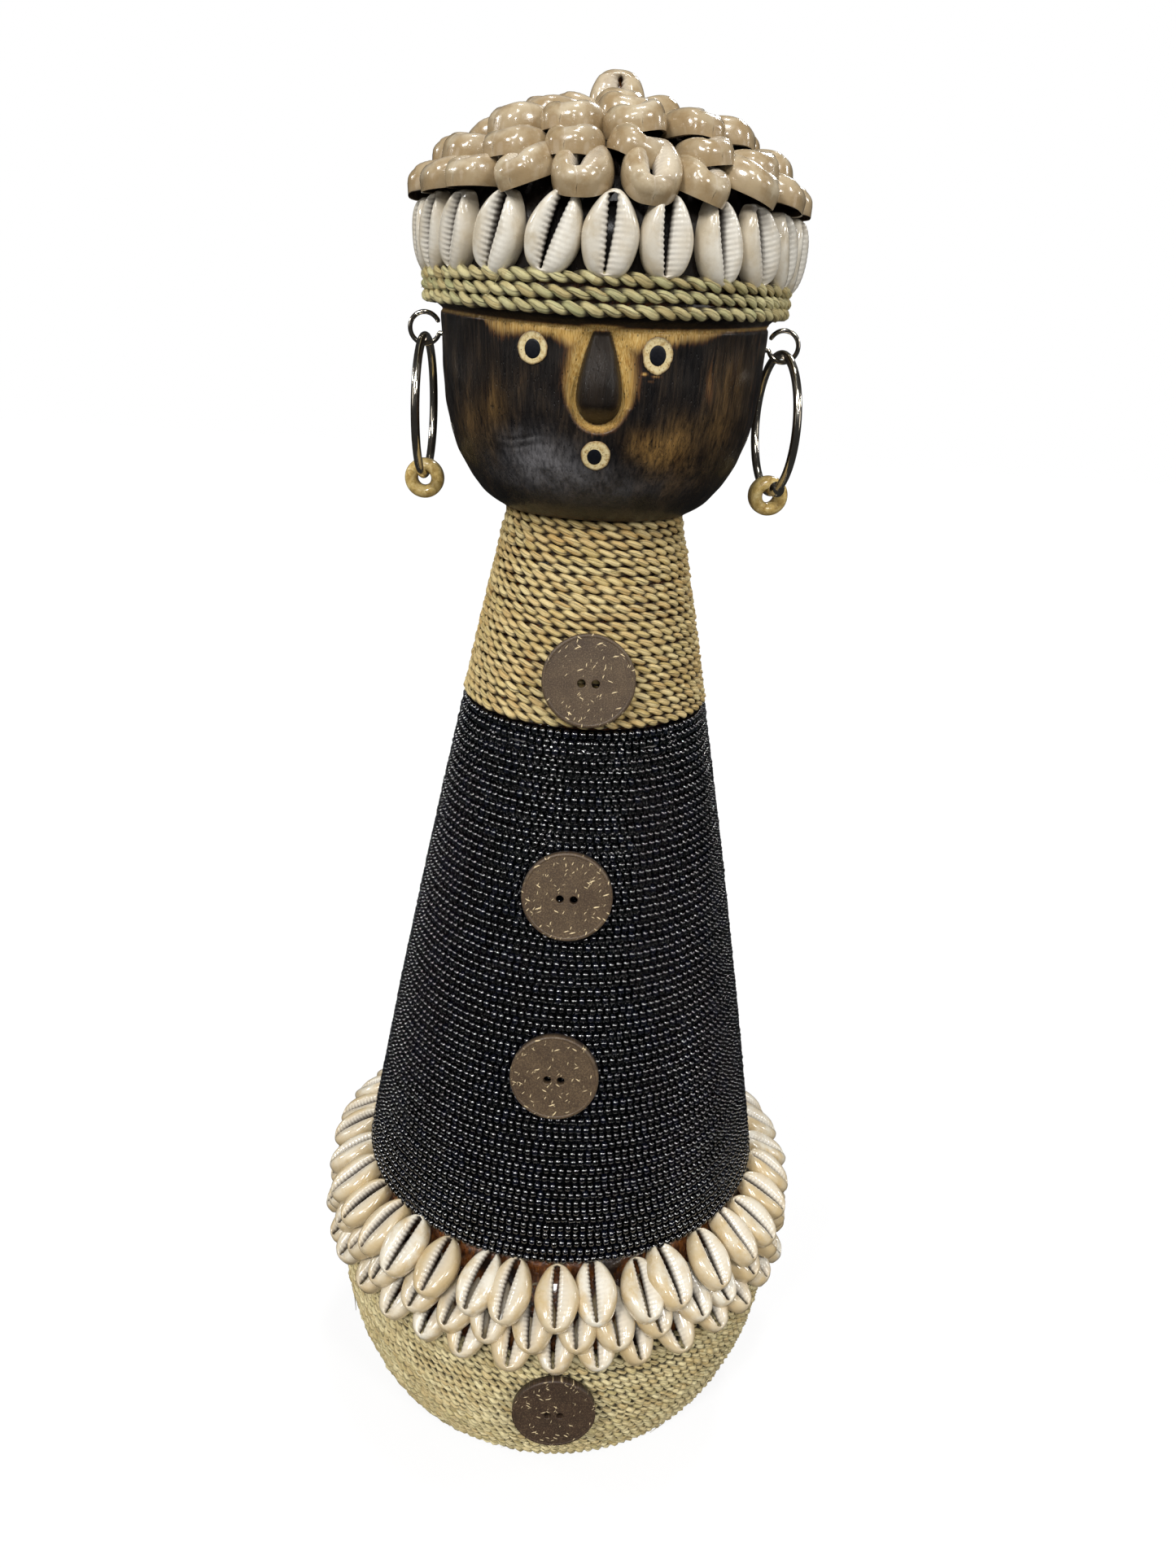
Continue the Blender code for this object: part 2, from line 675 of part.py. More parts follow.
build_base()
build_cone()
build_head()
build_band()
build_row()
build_crown()
build_collar()
build_buttons()
build_earrings()
bpy.context.view_layer.update()
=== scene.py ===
"""Fertility doll: fine shapes, materials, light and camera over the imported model.

Shapes are worked out in millimetres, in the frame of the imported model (+Z up, the face
towards -Y), and become metres when a mesh is made. Left and right are the viewer's.
"""

import json
import math

import bpy
import numpy as np
from mathutils import Matrix, Vector


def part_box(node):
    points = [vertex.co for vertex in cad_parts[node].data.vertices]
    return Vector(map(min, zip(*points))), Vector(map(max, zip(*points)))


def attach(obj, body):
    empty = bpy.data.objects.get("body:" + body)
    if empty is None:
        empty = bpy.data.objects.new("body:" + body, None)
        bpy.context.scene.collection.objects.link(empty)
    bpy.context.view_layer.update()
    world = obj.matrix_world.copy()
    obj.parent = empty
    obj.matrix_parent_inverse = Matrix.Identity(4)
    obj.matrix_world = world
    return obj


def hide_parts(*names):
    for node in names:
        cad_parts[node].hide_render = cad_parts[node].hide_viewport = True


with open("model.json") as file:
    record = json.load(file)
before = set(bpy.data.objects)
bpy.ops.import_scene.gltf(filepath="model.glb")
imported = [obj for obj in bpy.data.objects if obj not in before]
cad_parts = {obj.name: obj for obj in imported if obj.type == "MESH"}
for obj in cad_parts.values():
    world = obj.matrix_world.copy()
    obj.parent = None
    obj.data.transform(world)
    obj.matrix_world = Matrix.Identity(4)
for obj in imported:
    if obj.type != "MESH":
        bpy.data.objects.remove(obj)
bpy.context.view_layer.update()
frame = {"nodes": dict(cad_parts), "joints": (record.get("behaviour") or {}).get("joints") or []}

MM = 0.001
RNG = np.random.default_rng(7)
TURN = 2.0 * math.pi

# ---------------------------------------------------------------- sizes
ROPE = 2.75  # thickness of the neck and base rope
BAND_ROPE = 3.3
BAND_RISE = 2.4  # how far the lowest turn of the band, and the brow, rise at the sides
PLY_LAY = 7.9  # length of rope in which a ply goes once round
BASE_LAY = 5.4
BEAD_WIDTH = 2.45
BEAD_STEP = 2.13
BEAD_ROW = 2.6
CONE_BULGE = 1.3
BASE_BELLY = 43.0  # height at which the base is widest
HOOP_WIRE = 2.3
EYE_WIRE = 1.25
BUTTON_HOLE = 2.2
BUTTON_HOLES_APART = 3.8
BUTTON_HOLES_LOW = 0.7  # how far the holes lie below the button's centre
SHELL_SIZE = (20.2, 12.4, 6.0)  # length, width and height of a cowrie with its back cut off
ROW_SCALE = (0.92, 1.0, 0.93)
ROW_SET_IN = 2.7  # how far the cut side lies inside the middle of the CAD shell
ROW_LIFT = 8.5
CROWN_SCALE = (0.92, 1.12, 1.2)
COLLAR_SCALE = (0.96, 1.03, 0.9)


def low(node):
    return np.array(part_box(node)[0]) / MM


def high(node):
    return np.array(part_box(node)[1]) / MM


def centre(node):
    return (low(node) + high(node)) / 2


def half_width(node):
    return (high(node)[0] - low(node)[0]) / 2


def compass(angle):
    """Outward and sideways directions at an angle about +Z from the front, and the upward one."""
    out = np.array([math.sin(angle), -math.cos(angle), 0.0])
    beside = np.array([math.cos(angle), math.sin(angle), 0.0])
    return out, beside, np.array([0.0, 0.0, 1.0])


BEADS_LOW, BEADS_HIGH = low("bead_winding")[2], high("bead_winding")[2]
NECK_LOW, NECK_HIGH = low("neck_rope")[2], high("neck_rope")[2]
FOOT_RADIUS = half_width("bead_winding") - 2.4
NECK_FOOT_RADIUS = half_width("neck_rope") - 2.6
BAND_LOW, BAND_HIGH = low("head_rope_band")[2], high("head_rope_band")[2]
BAND_RADIUS = half_width("head_rope_band")
HEAD_LOW, HEAD_HIGH = low("head_block")[2], high("head_block")[2]
BROW, LEDGE = HEAD_LOW + 46.6, HEAD_LOW + 47.6
NOSE_LOW, NOSE_TALL = HEAD_LOW + 25.0, 23.0
NOSE_HALF, NOSE_WIDEST = 5.75, 0.28  # half its width, and where up its height that is


# ---------------------------------------------------------------- meshes
def grid(rows, columns, wrap_rows=False, wrap_columns=False):
    """Quads over a grid of points numbered row by row."""
    row, column = np.meshgrid(
        np.arange(rows if wrap_rows else rows - 1),
        np.arange(columns if wrap_columns else columns - 1),
        indexing="ij",
    )
    row, column = row.ravel(), column.ravel()
    after, beside = (row + 1) % rows, (column + 1) % columns
    corners = [(row, column), (row, beside), (after, beside), (after, column)]
    return np.stack([r * columns + c for r, c in corners], 1)


def cap(ring):
    """Quads across a closed ring of an even number of points."""
    count = len(ring)
    step = np.arange(count // 2 - 1)
    order = np.stack([step, step + 1, count - 2 - step, count - 1 - step], 1)
    return np.asarray(ring)[order]


def capped(rows, columns):
    """Quads over rings of points, with the first and the last ring closed."""
    first, last = np.arange(columns), np.arange(columns) + (rows - 1) * columns
    return np.concatenate([grid(rows, columns, False, True), cap(first)[:, ::-1], cap(last)])


def outward(points, quads):
    """The quads of a closed shape, turned so that they face out."""
    a, b, c, d = (points[quads[:, k]] for k in range(4))
    volume = np.sum(a * np.cross(b, c)) + np.sum(a * np.cross(c, d))
    return quads if volume > 0 else quads[:, ::-1]


def add_values(mesh, **values):
    """Named values for each point, which the materials read."""
    for key, data in values.items():
        attribute = mesh.attributes.new(key, "FLOAT", "POINT")
        attribute.data.foreach_set("value", data.astype(np.float32))


def add_piece(name, mesh, looks, nodes, body):
    """An object of the mesh that rides on a body and replaces its CAD nodes."""
    for look in looks:
        mesh.materials.append(look.material)
    piece = bpy.data.objects.new(name, mesh)
    bpy.context.scene.collection.objects.link(piece)
    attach(piece, body)
    if nodes:
        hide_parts(*nodes)


def smooth(low_edge, high_edge, value):
    t = np.clip((np.asarray(value, float) - low_edge) / (high_edge - low_edge), 0, 1)
    return t * t * (3 - 2 * t)


def bell(value):
    """1 where the value is 0, and nearly nothing beyond 2 on either side."""
    return np.exp(-np.square(value))


class Shape:
    """Points in millimetres with quads, a material number and named values for each point."""

    def __init__(self):
        self.points, self.quads, self.numbers, self.values = [], [], [], []
        self.count = 0

    def add(self, points, quads, number=0, **values):
        self.points.append(points)
        self.quads.append(quads + self.count)
        self.numbers.append(np.full(len(quads), number))
        self.values.append(
            {k: np.broadcast_to(np.ravel(v), len(points)) for k, v in values.items()}
        )
        self.count += len(points)

    def close(self, points, quads, number=0, **values):
        """A closed form, its quads turned to face out."""
        points = points.reshape(-1, 3)
        self.add(points, outward(points, quads), number, **values)

    def copies(self, points, quads, places, **values):
        """One template at many places: matrices (n, 3, 3) of axes in columns and origins (n, 3)."""
        axes, origins = places
        many = np.einsum("nij,pj->npi", axes, points) + origins[:, None, :]
        shift = np.arange(len(origins)) * len(points)
        faces = (quads[None] + shift[:, None, None]).reshape(-1, 4)
        spread = {}
        for key, value in values.items():
            value = np.asarray(value, float)
            each = len(value) == len(origins)
            spread[key] = np.repeat(value, len(points)) if each else np.tile(value, len(origins))
        self.add(many.reshape(-1, 3), faces, **spread)

    def make(self, name, looks, nodes=(), body="doll", sharp=None):
        """Make the piece; edges sharper than so many degrees stay sharp."""
        points = np.concatenate(self.points) * MM
        quads = np.concatenate(self.quads)
        mesh = bpy.data.meshes.new(name)
        mesh.vertices.add(len(points))
        mesh.vertices.foreach_set("co", points.astype(np.float32).ravel())
        mesh.loops.add(quads.size)
        mesh.loops.foreach_set("vertex_index", quads.astype(np.int32).ravel())
        mesh.polygons.add(len(quads))
        mesh.polygons.foreach_set("loop_start", np.arange(0, quads.size, 4, dtype=np.int32))
        mesh.polygons.foreach_set("material_index", np.concatenate(self.numbers).astype(np.int32))
        mesh.update(calc_edges=True)
        parts = list(zip(self.values, self.points))
        for key in sorted(set().union(*self.values)):
            data = [value.get(key, np.zeros(len(part))) for value, part in parts]
            add_values(mesh, **{key: np.concatenate(data)})
        mesh.shade_smooth()
        if sharp:
            mesh.set_sharp_from_angle(angle=math.radians(sharp))
        add_piece(name, mesh, looks, nodes, body)


def normalised(vectors):
    return vectors / np.linalg.norm(vectors, axis=-1, keepdims=True)


def axes_of(along, out):
    """Matrices whose Y axis runs along and whose Z axis points out."""
    along = normalised(along)
    out = normalised(out - np.sum(out * along, -1, keepdims=True) * along)
    return np.stack([np.cross(along, out), along, out], -1)


def tube(shape, path, radii, sides, normals, closed=False, swell=None, **values):
    """A tube along a path; normals point away from the core, where the seam is."""
    ahead = np.roll(path, -1, 0) - np.roll(path, 1, 0)
    if not closed:
        ahead[0], ahead[-1] = path[1] - path[0], path[-1] - path[-2]
    axes = axes_of(ahead, normals)
    angle = TURN * np.arange(sides) / sides + math.pi
    radii = np.broadcast_to(np.asarray(radii, float), len(path))[:, None] * np.ones(sides)
    if swell is not None:
        radii = radii * swell(angle[None, :], np.arange(len(path))[:, None])
    offset = (
        np.cos(angle)[None, :, None] * axes[:, None, :, 2]
        + np.sin(angle)[None, :, None] * axes[:, None, :, 0]
    )
    points = path[:, None, :] + offset * radii[:, :, None]
    quads = grid(len(path), sides, True, True) if closed else capped(len(path), sides)
    spread = {k: np.repeat(np.broadcast_to(v, len(path)), sides) for k, v in values.items()}
    shape.close(points, quads, turn=np.tile(angle, len(path)), **spread)


def turned(profile, steps, closed=False):
    """Points and quads of a profile of (radius, height) points turned about +Z.

    Closed joins the two ends of the profile, as on a ring.
    """
    profile = np.array(profile, float)
    angle = TURN * np.arange(steps) / steps
    x, y = profile[:, :1] * np.cos(angle), profile[:, :1] * np.sin(angle)
    points = np.stack([x, y, profile[:, 1:] + 0 * angle], -1)
    quads = grid(len(profile), steps, True, True) if closed else capped(len(profile), steps)
    return points.reshape(-1, 3), quads


def revolve(shape, profile, steps, number=0, closed=False, axes=np.eye(3), origin=(0.0, 0.0, 0.0)):
    """A turned form, placed by a matrix whose third column is its axis."""
    points, quads = turned(profile, steps, closed)
    shape.close(points @ axes.T + np.array(origin), quads, number)


# ---------------------------------------------------------------- materials
def srgb(red, green, blue):
    """Linear colour from 0 to 255 screen values."""
    values = [c / 255 for c in (red, green, blue)]
    return [c / 12.92 if c <= 0.04045 else ((c + 0.055) / 1.055) ** 2.4 for c in values] + [1.0]


class Look:
    """A material whose nodes are added one call at a time. Sizes of features are in millimetres."""

    def __init__(self, name, **values):
        self.material = bpy.data.materials.new(name)
        self.material.use_nodes = True
        self.tree = self.material.node_tree
        self.shader = self.tree.nodes["Principled BSDF"]
        for key, value in values.items():
            self.shader.inputs[key.replace("_", " ")].default_value = value

    def put(self, target, value):
        if isinstance(value, bpy.types.NodeSocket):
            self.tree.links.new(value, target)
        else:
            target.default_value = value

    def node(self, kind, inputs=None, output=0, **settings):
        node = self.tree.nodes.new("ShaderNode" + kind)
        for key, value in settings.items():
            setattr(node, key, value)
        for socket, value in (inputs or {}).items():
            self.put(node.inputs[socket], value)
        return node.outputs[output]

    def place(self, x=1.0, y=1.0, z=1.0):
        """Object coordinates, squeezed along each axis."""
        point = self.node("TexCoord", output="Object")
        return self.node("VectorMath", {0: point, 1: (x, y, z)}, operation="MULTIPLY")

    def value(self, name):
        return self.node("Attribute", output="Fac", attribute_name=name)

    def vector(self, x, y=0.0, z=0.0):
        return self.node("CombineXYZ", {0: x, 1: y, 2: z})

    def noise(self, size, where=None, detail=3.0, roughness=0.55, warp=0.0, unit=MM):
        where = self.place() if where is None else where
        inputs = {"Vector": where, "Scale": 1 / (size * unit), "Detail": detail}
        inputs.update({"Roughness": roughness, "Distortion": warp})
        return self.node("TexNoise", inputs, output="Fac")

    def cells(self, size, where=None, unit=MM):
        where = self.place() if where is None else where
        inputs = {"Vector": where, "Scale": 1 / (size * unit)}
        return self.node("TexVoronoi", inputs, output="Distance")

    def math(self, operation, a, b=0.0, clamp=False):
        return self.node("Math", {0: a, 1: b}, operation=operation, use_clamp=clamp)

    def times(self, a, b, clamp=False):
        return self.math("MULTIPLY", a, b, clamp)

    def plus(self, a, b, clamp=False):
        return self.math("ADD", a, b, clamp)

    def minus(self, a, b):
        return self.math("SUBTRACT", a, b)

    def span(self, value, low_edge, high_edge, to_low=0.0, to_high=1.0):
        """The value stretched from one range to another, and held inside it."""
        inputs = {0: value, 1: low_edge, 2: high_edge, 3: to_low, 4: to_high}
        return self.node("MapRange", inputs)

    def ramp(self, value, *stops):
        node = self.tree.nodes.new("ShaderNodeValToRGB")
        for index, (position, colour) in enumerate(stops):
            if index > 1:
                node.color_ramp.elements.new(position)
            element = node.color_ramp.elements[index]
            element.position, element.color = position, colour
        self.put(node.inputs[0], value)
        return node.outputs[0]

    def mix(self, factor, a, b):
        node = self.tree.nodes.new("ShaderNodeMix")
        node.data_type = "RGBA"
        for socket, value in ((0, factor), (6, a), (7, b)):
            self.put(node.inputs[socket], value)
        return node.outputs[2]

    def over(self, body, colour, value, *edges):
        """A colour laid over the body where the value, spanned by the edges, is high."""
        return self.mix(self.span(value, *edges), body, colour)

    def set(self, **values):
        for key, value in values.items():
            self.put(self.shader.inputs[key.replace("_", " ")], value)

    def bump(self, *layers):
        """Layers of (height, depth in millimetres), each on the one before."""
        normal = None
        for height, depth in layers:
            inputs = {"Height": height, "Distance": depth * MM, "Strength": 1.0}
            if normal is not None:
                inputs["Normal"] = normal
            normal = self.node("Bump", inputs)
        self.set(Normal=normal)


def shell_look(name, *tones):
    """Glossy cowrie: light, dark, stained and tooth tones, a tone of painted shade for the grooves between
    the teeth, and a brown slot and inside that are partly dark glue and partly painted shade.
    """
    light, dark, stain, teeth, groove_shade = (srgb(*tone) for tone in tones)
    look = Look(name, IOR=1.5, Coat_Weight=0.7, Coat_Roughness=0.04)
    cloud = look.noise(5.0, detail=4, roughness=0.6)
    fine = look.noise(0.5, detail=5, roughness=0.7)
    body = look.mix(look.value("tint"), light, dark)
    body = look.over(body, stain, cloud, 0.42, 0.62, 0.0, 0.85)
    body = look.mix(look.times(look.value("side"), 0.6), body, stain)
    body = look.over(body, dark, fine, 0.5, 0.78, 0.0, 0.35)
    body = look.mix(look.times(look.value("lip"), 0.8), body, teeth)
    # Painted shade in the grooves between the teeth.
    body = look.mix(look.times(look.value("groove"), 0.7, True), body, groove_shade)
    # Dark brown in the slot and on the inner wall: partly the dark glue under the shell, partly painted
    # shade.
    hollow = look.mix(look.noise(2.0), srgb(14, 9, 8), srgb(56, 34, 20))
    body = look.mix(look.value("hollow"), body, hollow)
    rough = look.span(look.noise(3.0, detail=4), 0.3, 0.75, 0.16, 0.34)
    rough = look.plus(rough, look.times(look.value("hollow"), 0.4))
    look.set(Base_Color=body, Roughness=rough)
    look.bump((look.noise(0.35, detail=4), 0.02), (look.noise(2.6, detail=2), 0.12))
    return look


def rope_look(name, *tones):
    """Twisted grass: flat blades of light, middle and green tones, with dark fibres and painted shade in
    the gaps between plies and turns.
    """
    light, middle, green, dark = (srgb(*tone) for tone in tones)
    look = Look(name, Specular_IOR_Level=0.45)
    along, turn, ply = look.value("along"), look.value("turn"), look.value("ply")
    blade = look.plus(look.times(turn, 3 / TURN), look.times(along, 0.055))
    stretch = look.math("FLOOR", look.plus(look.times(along, 0.05), ply))
    number = look.vector(look.math("FLOOR", blade), ply, stretch)
    pick = look.node("TexWhiteNoise", {"Vector": number}, noise_dimensions="3D")
    edge = look.math("ABSOLUTE", look.minus(look.math("FRACT", blade), 0.5))
    edge = look.span(edge, 0.34, 0.5)
    lines = look.vector(look.times(along, 0.22), look.times(turn, 2.6), ply)
    fibre = look.noise(1.0, lines, detail=5, roughness=0.75, unit=1.0)
    patch = look.noise(7.0, detail=4, roughness=0.65)
    body = look.ramp(pick, (0.0, middle), (0.3, light), (0.55, green), (0.8, light), (1.0, middle))
    body = look.over(body, light, fibre, 0.45, 0.68, 0.0, 0.9)
    body = look.over(body, dark, fibre, 0.3, 0.45, 0.7, 0.0)
    body = look.over(body, middle, patch, 0.44, 0.66, 0.0, 0.5)
    body = look.mix(look.times(edge, 0.35), body, dark)
    # Painted shade: the dark tone where a ply dives under the other, and on the sides of each ply that face
    # the core and the next turns.
    body = look.over(body, dark, look.value("under"), 0.3, 0.66, 0.0, 0.95)
    body = look.over(body, dark, look.math("COSINE", turn), -0.75, 0.4, 0.97, 0.0)
    look.set(Base_Color=body, Roughness=look.span(fibre, 0.3, 0.7, 0.32, 0.62))
    look.bump((fibre, 0.36), (look.minus(1.0, edge), 0.16))
    return look


def wood_look():
    """Burnt wood with scraped golden places and worn places, given by the values gold and worn, with a
    painted sheen, dark lines and painted shade given by two more values.
    """
    look = Look("burnt_head_wood", Coat_Roughness=0.13, Specular_IOR_Level=0.35)
    streaks = look.noise(0.8, look.place(1, 1, 0.07), detail=6, roughness=0.72, warp=0.3)
    broad = look.noise(5.0, look.place(1, 1, 0.2), detail=4, roughness=0.6, warp=0.4)
    lines = look.noise(0.26, look.place(1, 1, 0.035), detail=3, roughness=0.6)
    blotch = look.noise(7.0, detail=4)
    shade = look.plus(look.times(streaks, 0.5), look.times(broad, 0.55))
    body = look.ramp(
        shade,
        (0.42, srgb(13, 12, 14)),
        (0.54, srgb(29, 24, 21)),
        (0.64, srgb(52, 41, 30)),
        (0.76, srgb(88, 68, 44)),
    )
    worn = look.times(look.value("worn"), look.span(streaks, 0.32, 0.58))
    brown = look.ramp(broad, (0.3, srgb(80, 56, 26)), (0.7, srgb(152, 116, 62)))
    body = look.mix(worn, body, brown)
    # Painted sheen: pale grey laid where the sheen value is high, in place of a highlight; the same value
    # raises the coat.
    painted_sheen = look.times(look.value("painted_sheen"), look.span(blotch, 0.36, 0.62, 0.25, 1.0))
    painted_sheen = look.times(painted_sheen, look.span(streaks, 0.36, 0.58, 0.3, 1.0))
    body = look.mix(painted_sheen, body, srgb(116, 114, 116))
    dark_wood = look.mix(look.span(broad, 0.35, 0.65), srgb(21, 16, 12), srgb(40, 31, 23))
    body = look.mix(look.value("nose"), body, dark_wood)
    gold = look.plus(look.value("gold"), look.times(look.minus(streaks, 0.5), 1.3))
    gold = look.times(look.span(gold, 0.16, 0.8), look.span(look.value("gold"), 0.02, 0.2))
    grain = look.ramp(
        lines, (0.3, srgb(172, 122, 52)), (0.5, srgb(222, 180, 100)), (0.75, srgb(244, 218, 154))
    )
    grain = look.mix(look.span(look.value("gold"), 0.3, 0.9), srgb(112, 68, 26), grain)
    body = look.mix(gold, body, grain)
    pores = look.cells(0.8, look.place(1, 1, 0.4))
    pores = look.span(pores, 0.08, 0.2, 0.75, 0.0)
    body = look.mix(pores, body, srgb(12, 8, 6))
    # Near black along the dark lines, and as painted shade over the cap above the ledge.
    body = look.mix(look.value("dark_line_and_shade"), body, srgb(20, 11, 6))
    rough = look.span(streaks, 0.3, 0.7, 0.28, 0.5)
    glaze = look.plus(look.times(look.value("nose"), 0.15), look.times(painted_sheen, 0.6))
    look.set(Coat_Weight=look.plus(glaze, 0.12, True))
    rough = look.plus(rough, look.times(gold, 0.2))
    look.set(Base_Color=body, Roughness=rough)
    look.bump((lines, 0.12), (streaks, 0.28), (pores, -0.14), (broad, 0.35))
    return look


def core_look():
    """Reddish wood under glossy glue, seen between the beads and the collar."""
    look = Look("glued_brown_wood", Coat_Weight=1.0, Coat_Roughness=0.06)
    streaks = look.noise(1.2, look.place(1, 1, 0.2), detail=5)
    body = look.ramp(
        streaks, (0.3, srgb(40, 20, 10)), (0.5, srgb(92, 50, 20)), (0.72, srgb(160, 98, 40))
    )
    body = look.over(body, srgb(34, 18, 10), look.noise(8.0), 0.5, 0.62)
    look.set(Base_Color=body, Roughness=look.span(look.noise(2.0), 0.3, 0.7, 0.2, 0.45))
    look.bump((look.noise(1.6, detail=4), 0.35), (look.noise(4.0), 0.6))
    return look


def bead_look():
    """Black glass, faintly blue, with a little dust and wear, and painted shade at the ends of each bead.
    """
    look = Look("black_glass", IOR=1.6, Specular_IOR_Level=1.0, Coat_Weight=0.8, Coat_Roughness=0.03)
    body = look.mix(look.value("tint"), srgb(4, 4, 6), srgb(9, 12, 26))
    # Painted shade: the ends of each bead, where it meets the next, are darker.
    body = look.mix(look.value("rim"), body, srgb(1, 1, 2))
    dust = look.span(look.noise(0.8, detail=4), 0.6, 0.9, 0.0, 0.15)
    body = look.mix(dust, body, srgb(28, 28, 32))
    look.set(Base_Color=body, Roughness=look.span(look.noise(0.9), 0.3, 0.7, 0.04, 0.1))
    look.bump((look.noise(0.7, detail=2), 0.03))
    return look


def bone_look():
    """Pale eggshell inlay with brown specks."""
    look = Look("pale_inlay", Coat_Weight=0.15, Coat_Roughness=0.2)
    body = look.ramp(
        look.noise(0.9, detail=5, roughness=0.7),
        (0.34, srgb(176, 142, 84)),
        (0.5, srgb(220, 200, 148)),
        (0.75, srgb(236, 224, 184)),
    )
    specks = look.span(look.cells(0.6), 0.12, 0.28, 0.9, 0.0)
    specks = look.times(specks, look.span(look.noise(1.3), 0.40, 0.54))
    body = look.mix(specks, body, srgb(104, 68, 30))
    body = look.over(body, srgb(104, 70, 32), look.value("edge"), 0.86, 1.0, 0.0, 0.85)
    look.set(Base_Color=body, Roughness=look.span(look.noise(0.8), 0.3, 0.7, 0.3, 0.55))
    look.bump((look.noise(0.3, detail=3), 0.06), (specks, -0.08))
    return look


def pupil_look():
    """Blue-black inlay with a worn polish."""
    look = Look("blue_black_inlay", Coat_Weight=0.1, Coat_Roughness=0.2, Specular_IOR_Level=0.3)
    body = look.mix(look.noise(0.7, detail=4), srgb(7, 8, 12), srgb(22, 25, 34))
    look.set(Base_Color=body, Roughness=look.span(look.noise(0.5), 0.3, 0.7, 0.35, 0.55))
    look.bump((look.noise(0.4, detail=3), 0.05))
    return look


def steel_look():
    """Dark polished nickel with fine scratches and smudges."""
    look = Look("dark_nickel", Metallic=1.0)
    body = look.mix(look.noise(4.0, detail=3), srgb(206, 196, 180), srgb(240, 234, 222))
    scratch = look.noise(0.25, look.place(1, 1, 0.15), detail=4)
    look.set(Base_Color=body, Roughness=look.span(scratch, 0.3, 0.75, 0.09, 0.22))
    look.bump((scratch, 0.01))
    return look


def ochre_look():
    """Mottled ochre glaze."""
    look = Look("ochre_glaze", Coat_Weight=0.8, Coat_Roughness=0.05, IOR=1.5)
    cloud = look.noise(2.0, detail=5, roughness=0.68, warp=0.6)
    body = look.ramp(
        cloud, (0.3, srgb(150, 118, 62)), (0.5, srgb(202, 174, 108)), (0.7, srgb(232, 210, 150))
    )
    specks = look.span(look.cells(0.6), 0.1, 0.22, 0.55, 0.0)
    body = look.mix(specks, body, srgb(92, 66, 28))
    look.set(Base_Color=body, Roughness=look.span(cloud, 0.3, 0.7, 0.14, 0.3))
    look.bump((look.noise(1.0, detail=3), 0.08))
    return look


def coconut_look(name, ground, brown):
    """Turned coconut shell: grey-brown with cream fibres and fine rings; across and up are its face."""
    look = Look(name, Coat_Weight=0.1, Coat_Roughness=0.35)
    across, up, seed = look.value("across"), look.value("up"), look.value("seed")
    face = look.vector(across, up, seed)
    cloud = look.noise(6.0, face, detail=5, roughness=0.65, unit=1.0)
    fine = look.noise(0.35, face, detail=4, roughness=0.75, unit=1.0)
    body = look.mix(look.span(cloud, 0.35, 0.68), ground, brown)
    body = look.over(body, srgb(38, 28, 20), fine, 0.46, 0.68, 0.0, 0.8)
    body = look.over(body, srgb(146, 126, 96), fine, 0.3, 0.46, 0.6, 0.0)
    flecks = []
    for angle, size, reach in ((0.5, 1.2, 0.09), (1.7, 1.1, 0.07), (2.75, 1.6, 0.08), (2.2, 0.8, 0.1)):
        turned = look.node("VectorRotate", {"Vector": face, "Angle": angle}, rotation_type="Z_AXIS")
        squeezed = look.node("VectorMath", {0: turned, 1: (0.2, 1.0, 1.0)}, operation="MULTIPLY")
        bend = look.vector(0.0, look.noise(2.0, face, unit=1.0))
        warped = look.node("VectorMath", {0: squeezed, 1: bend}, operation="ADD")
        spots = look.cells(size, warped, unit=1.0)
        flecks.append(look.span(spots, reach, reach + 0.05, 1.0, 0.0))
    fleck = flecks[0]
    for other in flecks[1:]:
        fleck = look.math("MAXIMUM", fleck, other)
    body = look.mix(fleck, body, srgb(232, 210, 164))
    radius = look.node("VectorMath", {0: look.vector(across, up)}, output="Value", operation="LENGTH")
    rings = look.math("SINE", look.times(radius, 21.0))
    rings = look.times(rings, look.noise(3.0, face, unit=1.0))
    body = look.over(body, srgb(150, 128, 98), rings, 0.2, 0.6, 0.0, 0.12)
    body = look.over(body, srgb(30, 19, 13), look.value("edge"), 0.3, 1.0, 0.0, 0.9)
    look.set(Base_Color=body, Roughness=look.span(fine, 0.3, 0.7, 0.38, 0.6))
    look.bump((rings, 0.012), (fine, 0.06), (fleck, 0.05))
    return look


# The last tone of each cowrie is painted shade for the grooves between its teeth.
WARM_SHELL = shell_look(
    "cowrie_beige", (206, 191, 162), (174, 156, 126), (156, 132, 96), (232, 224, 210), (108, 86, 64)
)
PALE_SHELL = shell_look(
    "cowrie_white", (222, 216, 200), (194, 174, 136), (194, 170, 126), (236, 232, 222), (92, 68, 46)
)
ROW_SHELL = shell_look(
    "cowrie_cream", (232, 226, 212), (206, 197, 180), (200, 186, 160), (244, 240, 230), (92, 76, 62)
)
# The last tone of each rope is used for its dark fibres and for the painted shade between plies and turns.
NECK_ROPE = rope_look(
    "neck_straw", (236, 216, 160), (192, 154, 88), (196, 170, 100), (44, 29, 12)
)
BAND_STRAW = rope_look(
    "band_grass", (220, 210, 158), (172, 150, 96), (158, 160, 112), (44, 34, 18)
)
BASE_STRAW = rope_look(
    "base_straw", (238, 224, 176), (186, 160, 104), (174, 158, 102), (34, 25, 11)
)
WOOD = wood_look()
CORE = core_look()
GLASS = bead_look()
BONE = bone_look()
PUPIL = pupil_look()
STEEL = steel_look()
OCHRE = ochre_look()
COCONUT = coconut_look("coconut_grey", srgb(96, 78, 57), srgb(70, 53, 38))
DARK_COCONUT = coconut_look("coconut_dark", srgb(72, 54, 41), srgb(54, 39, 30))


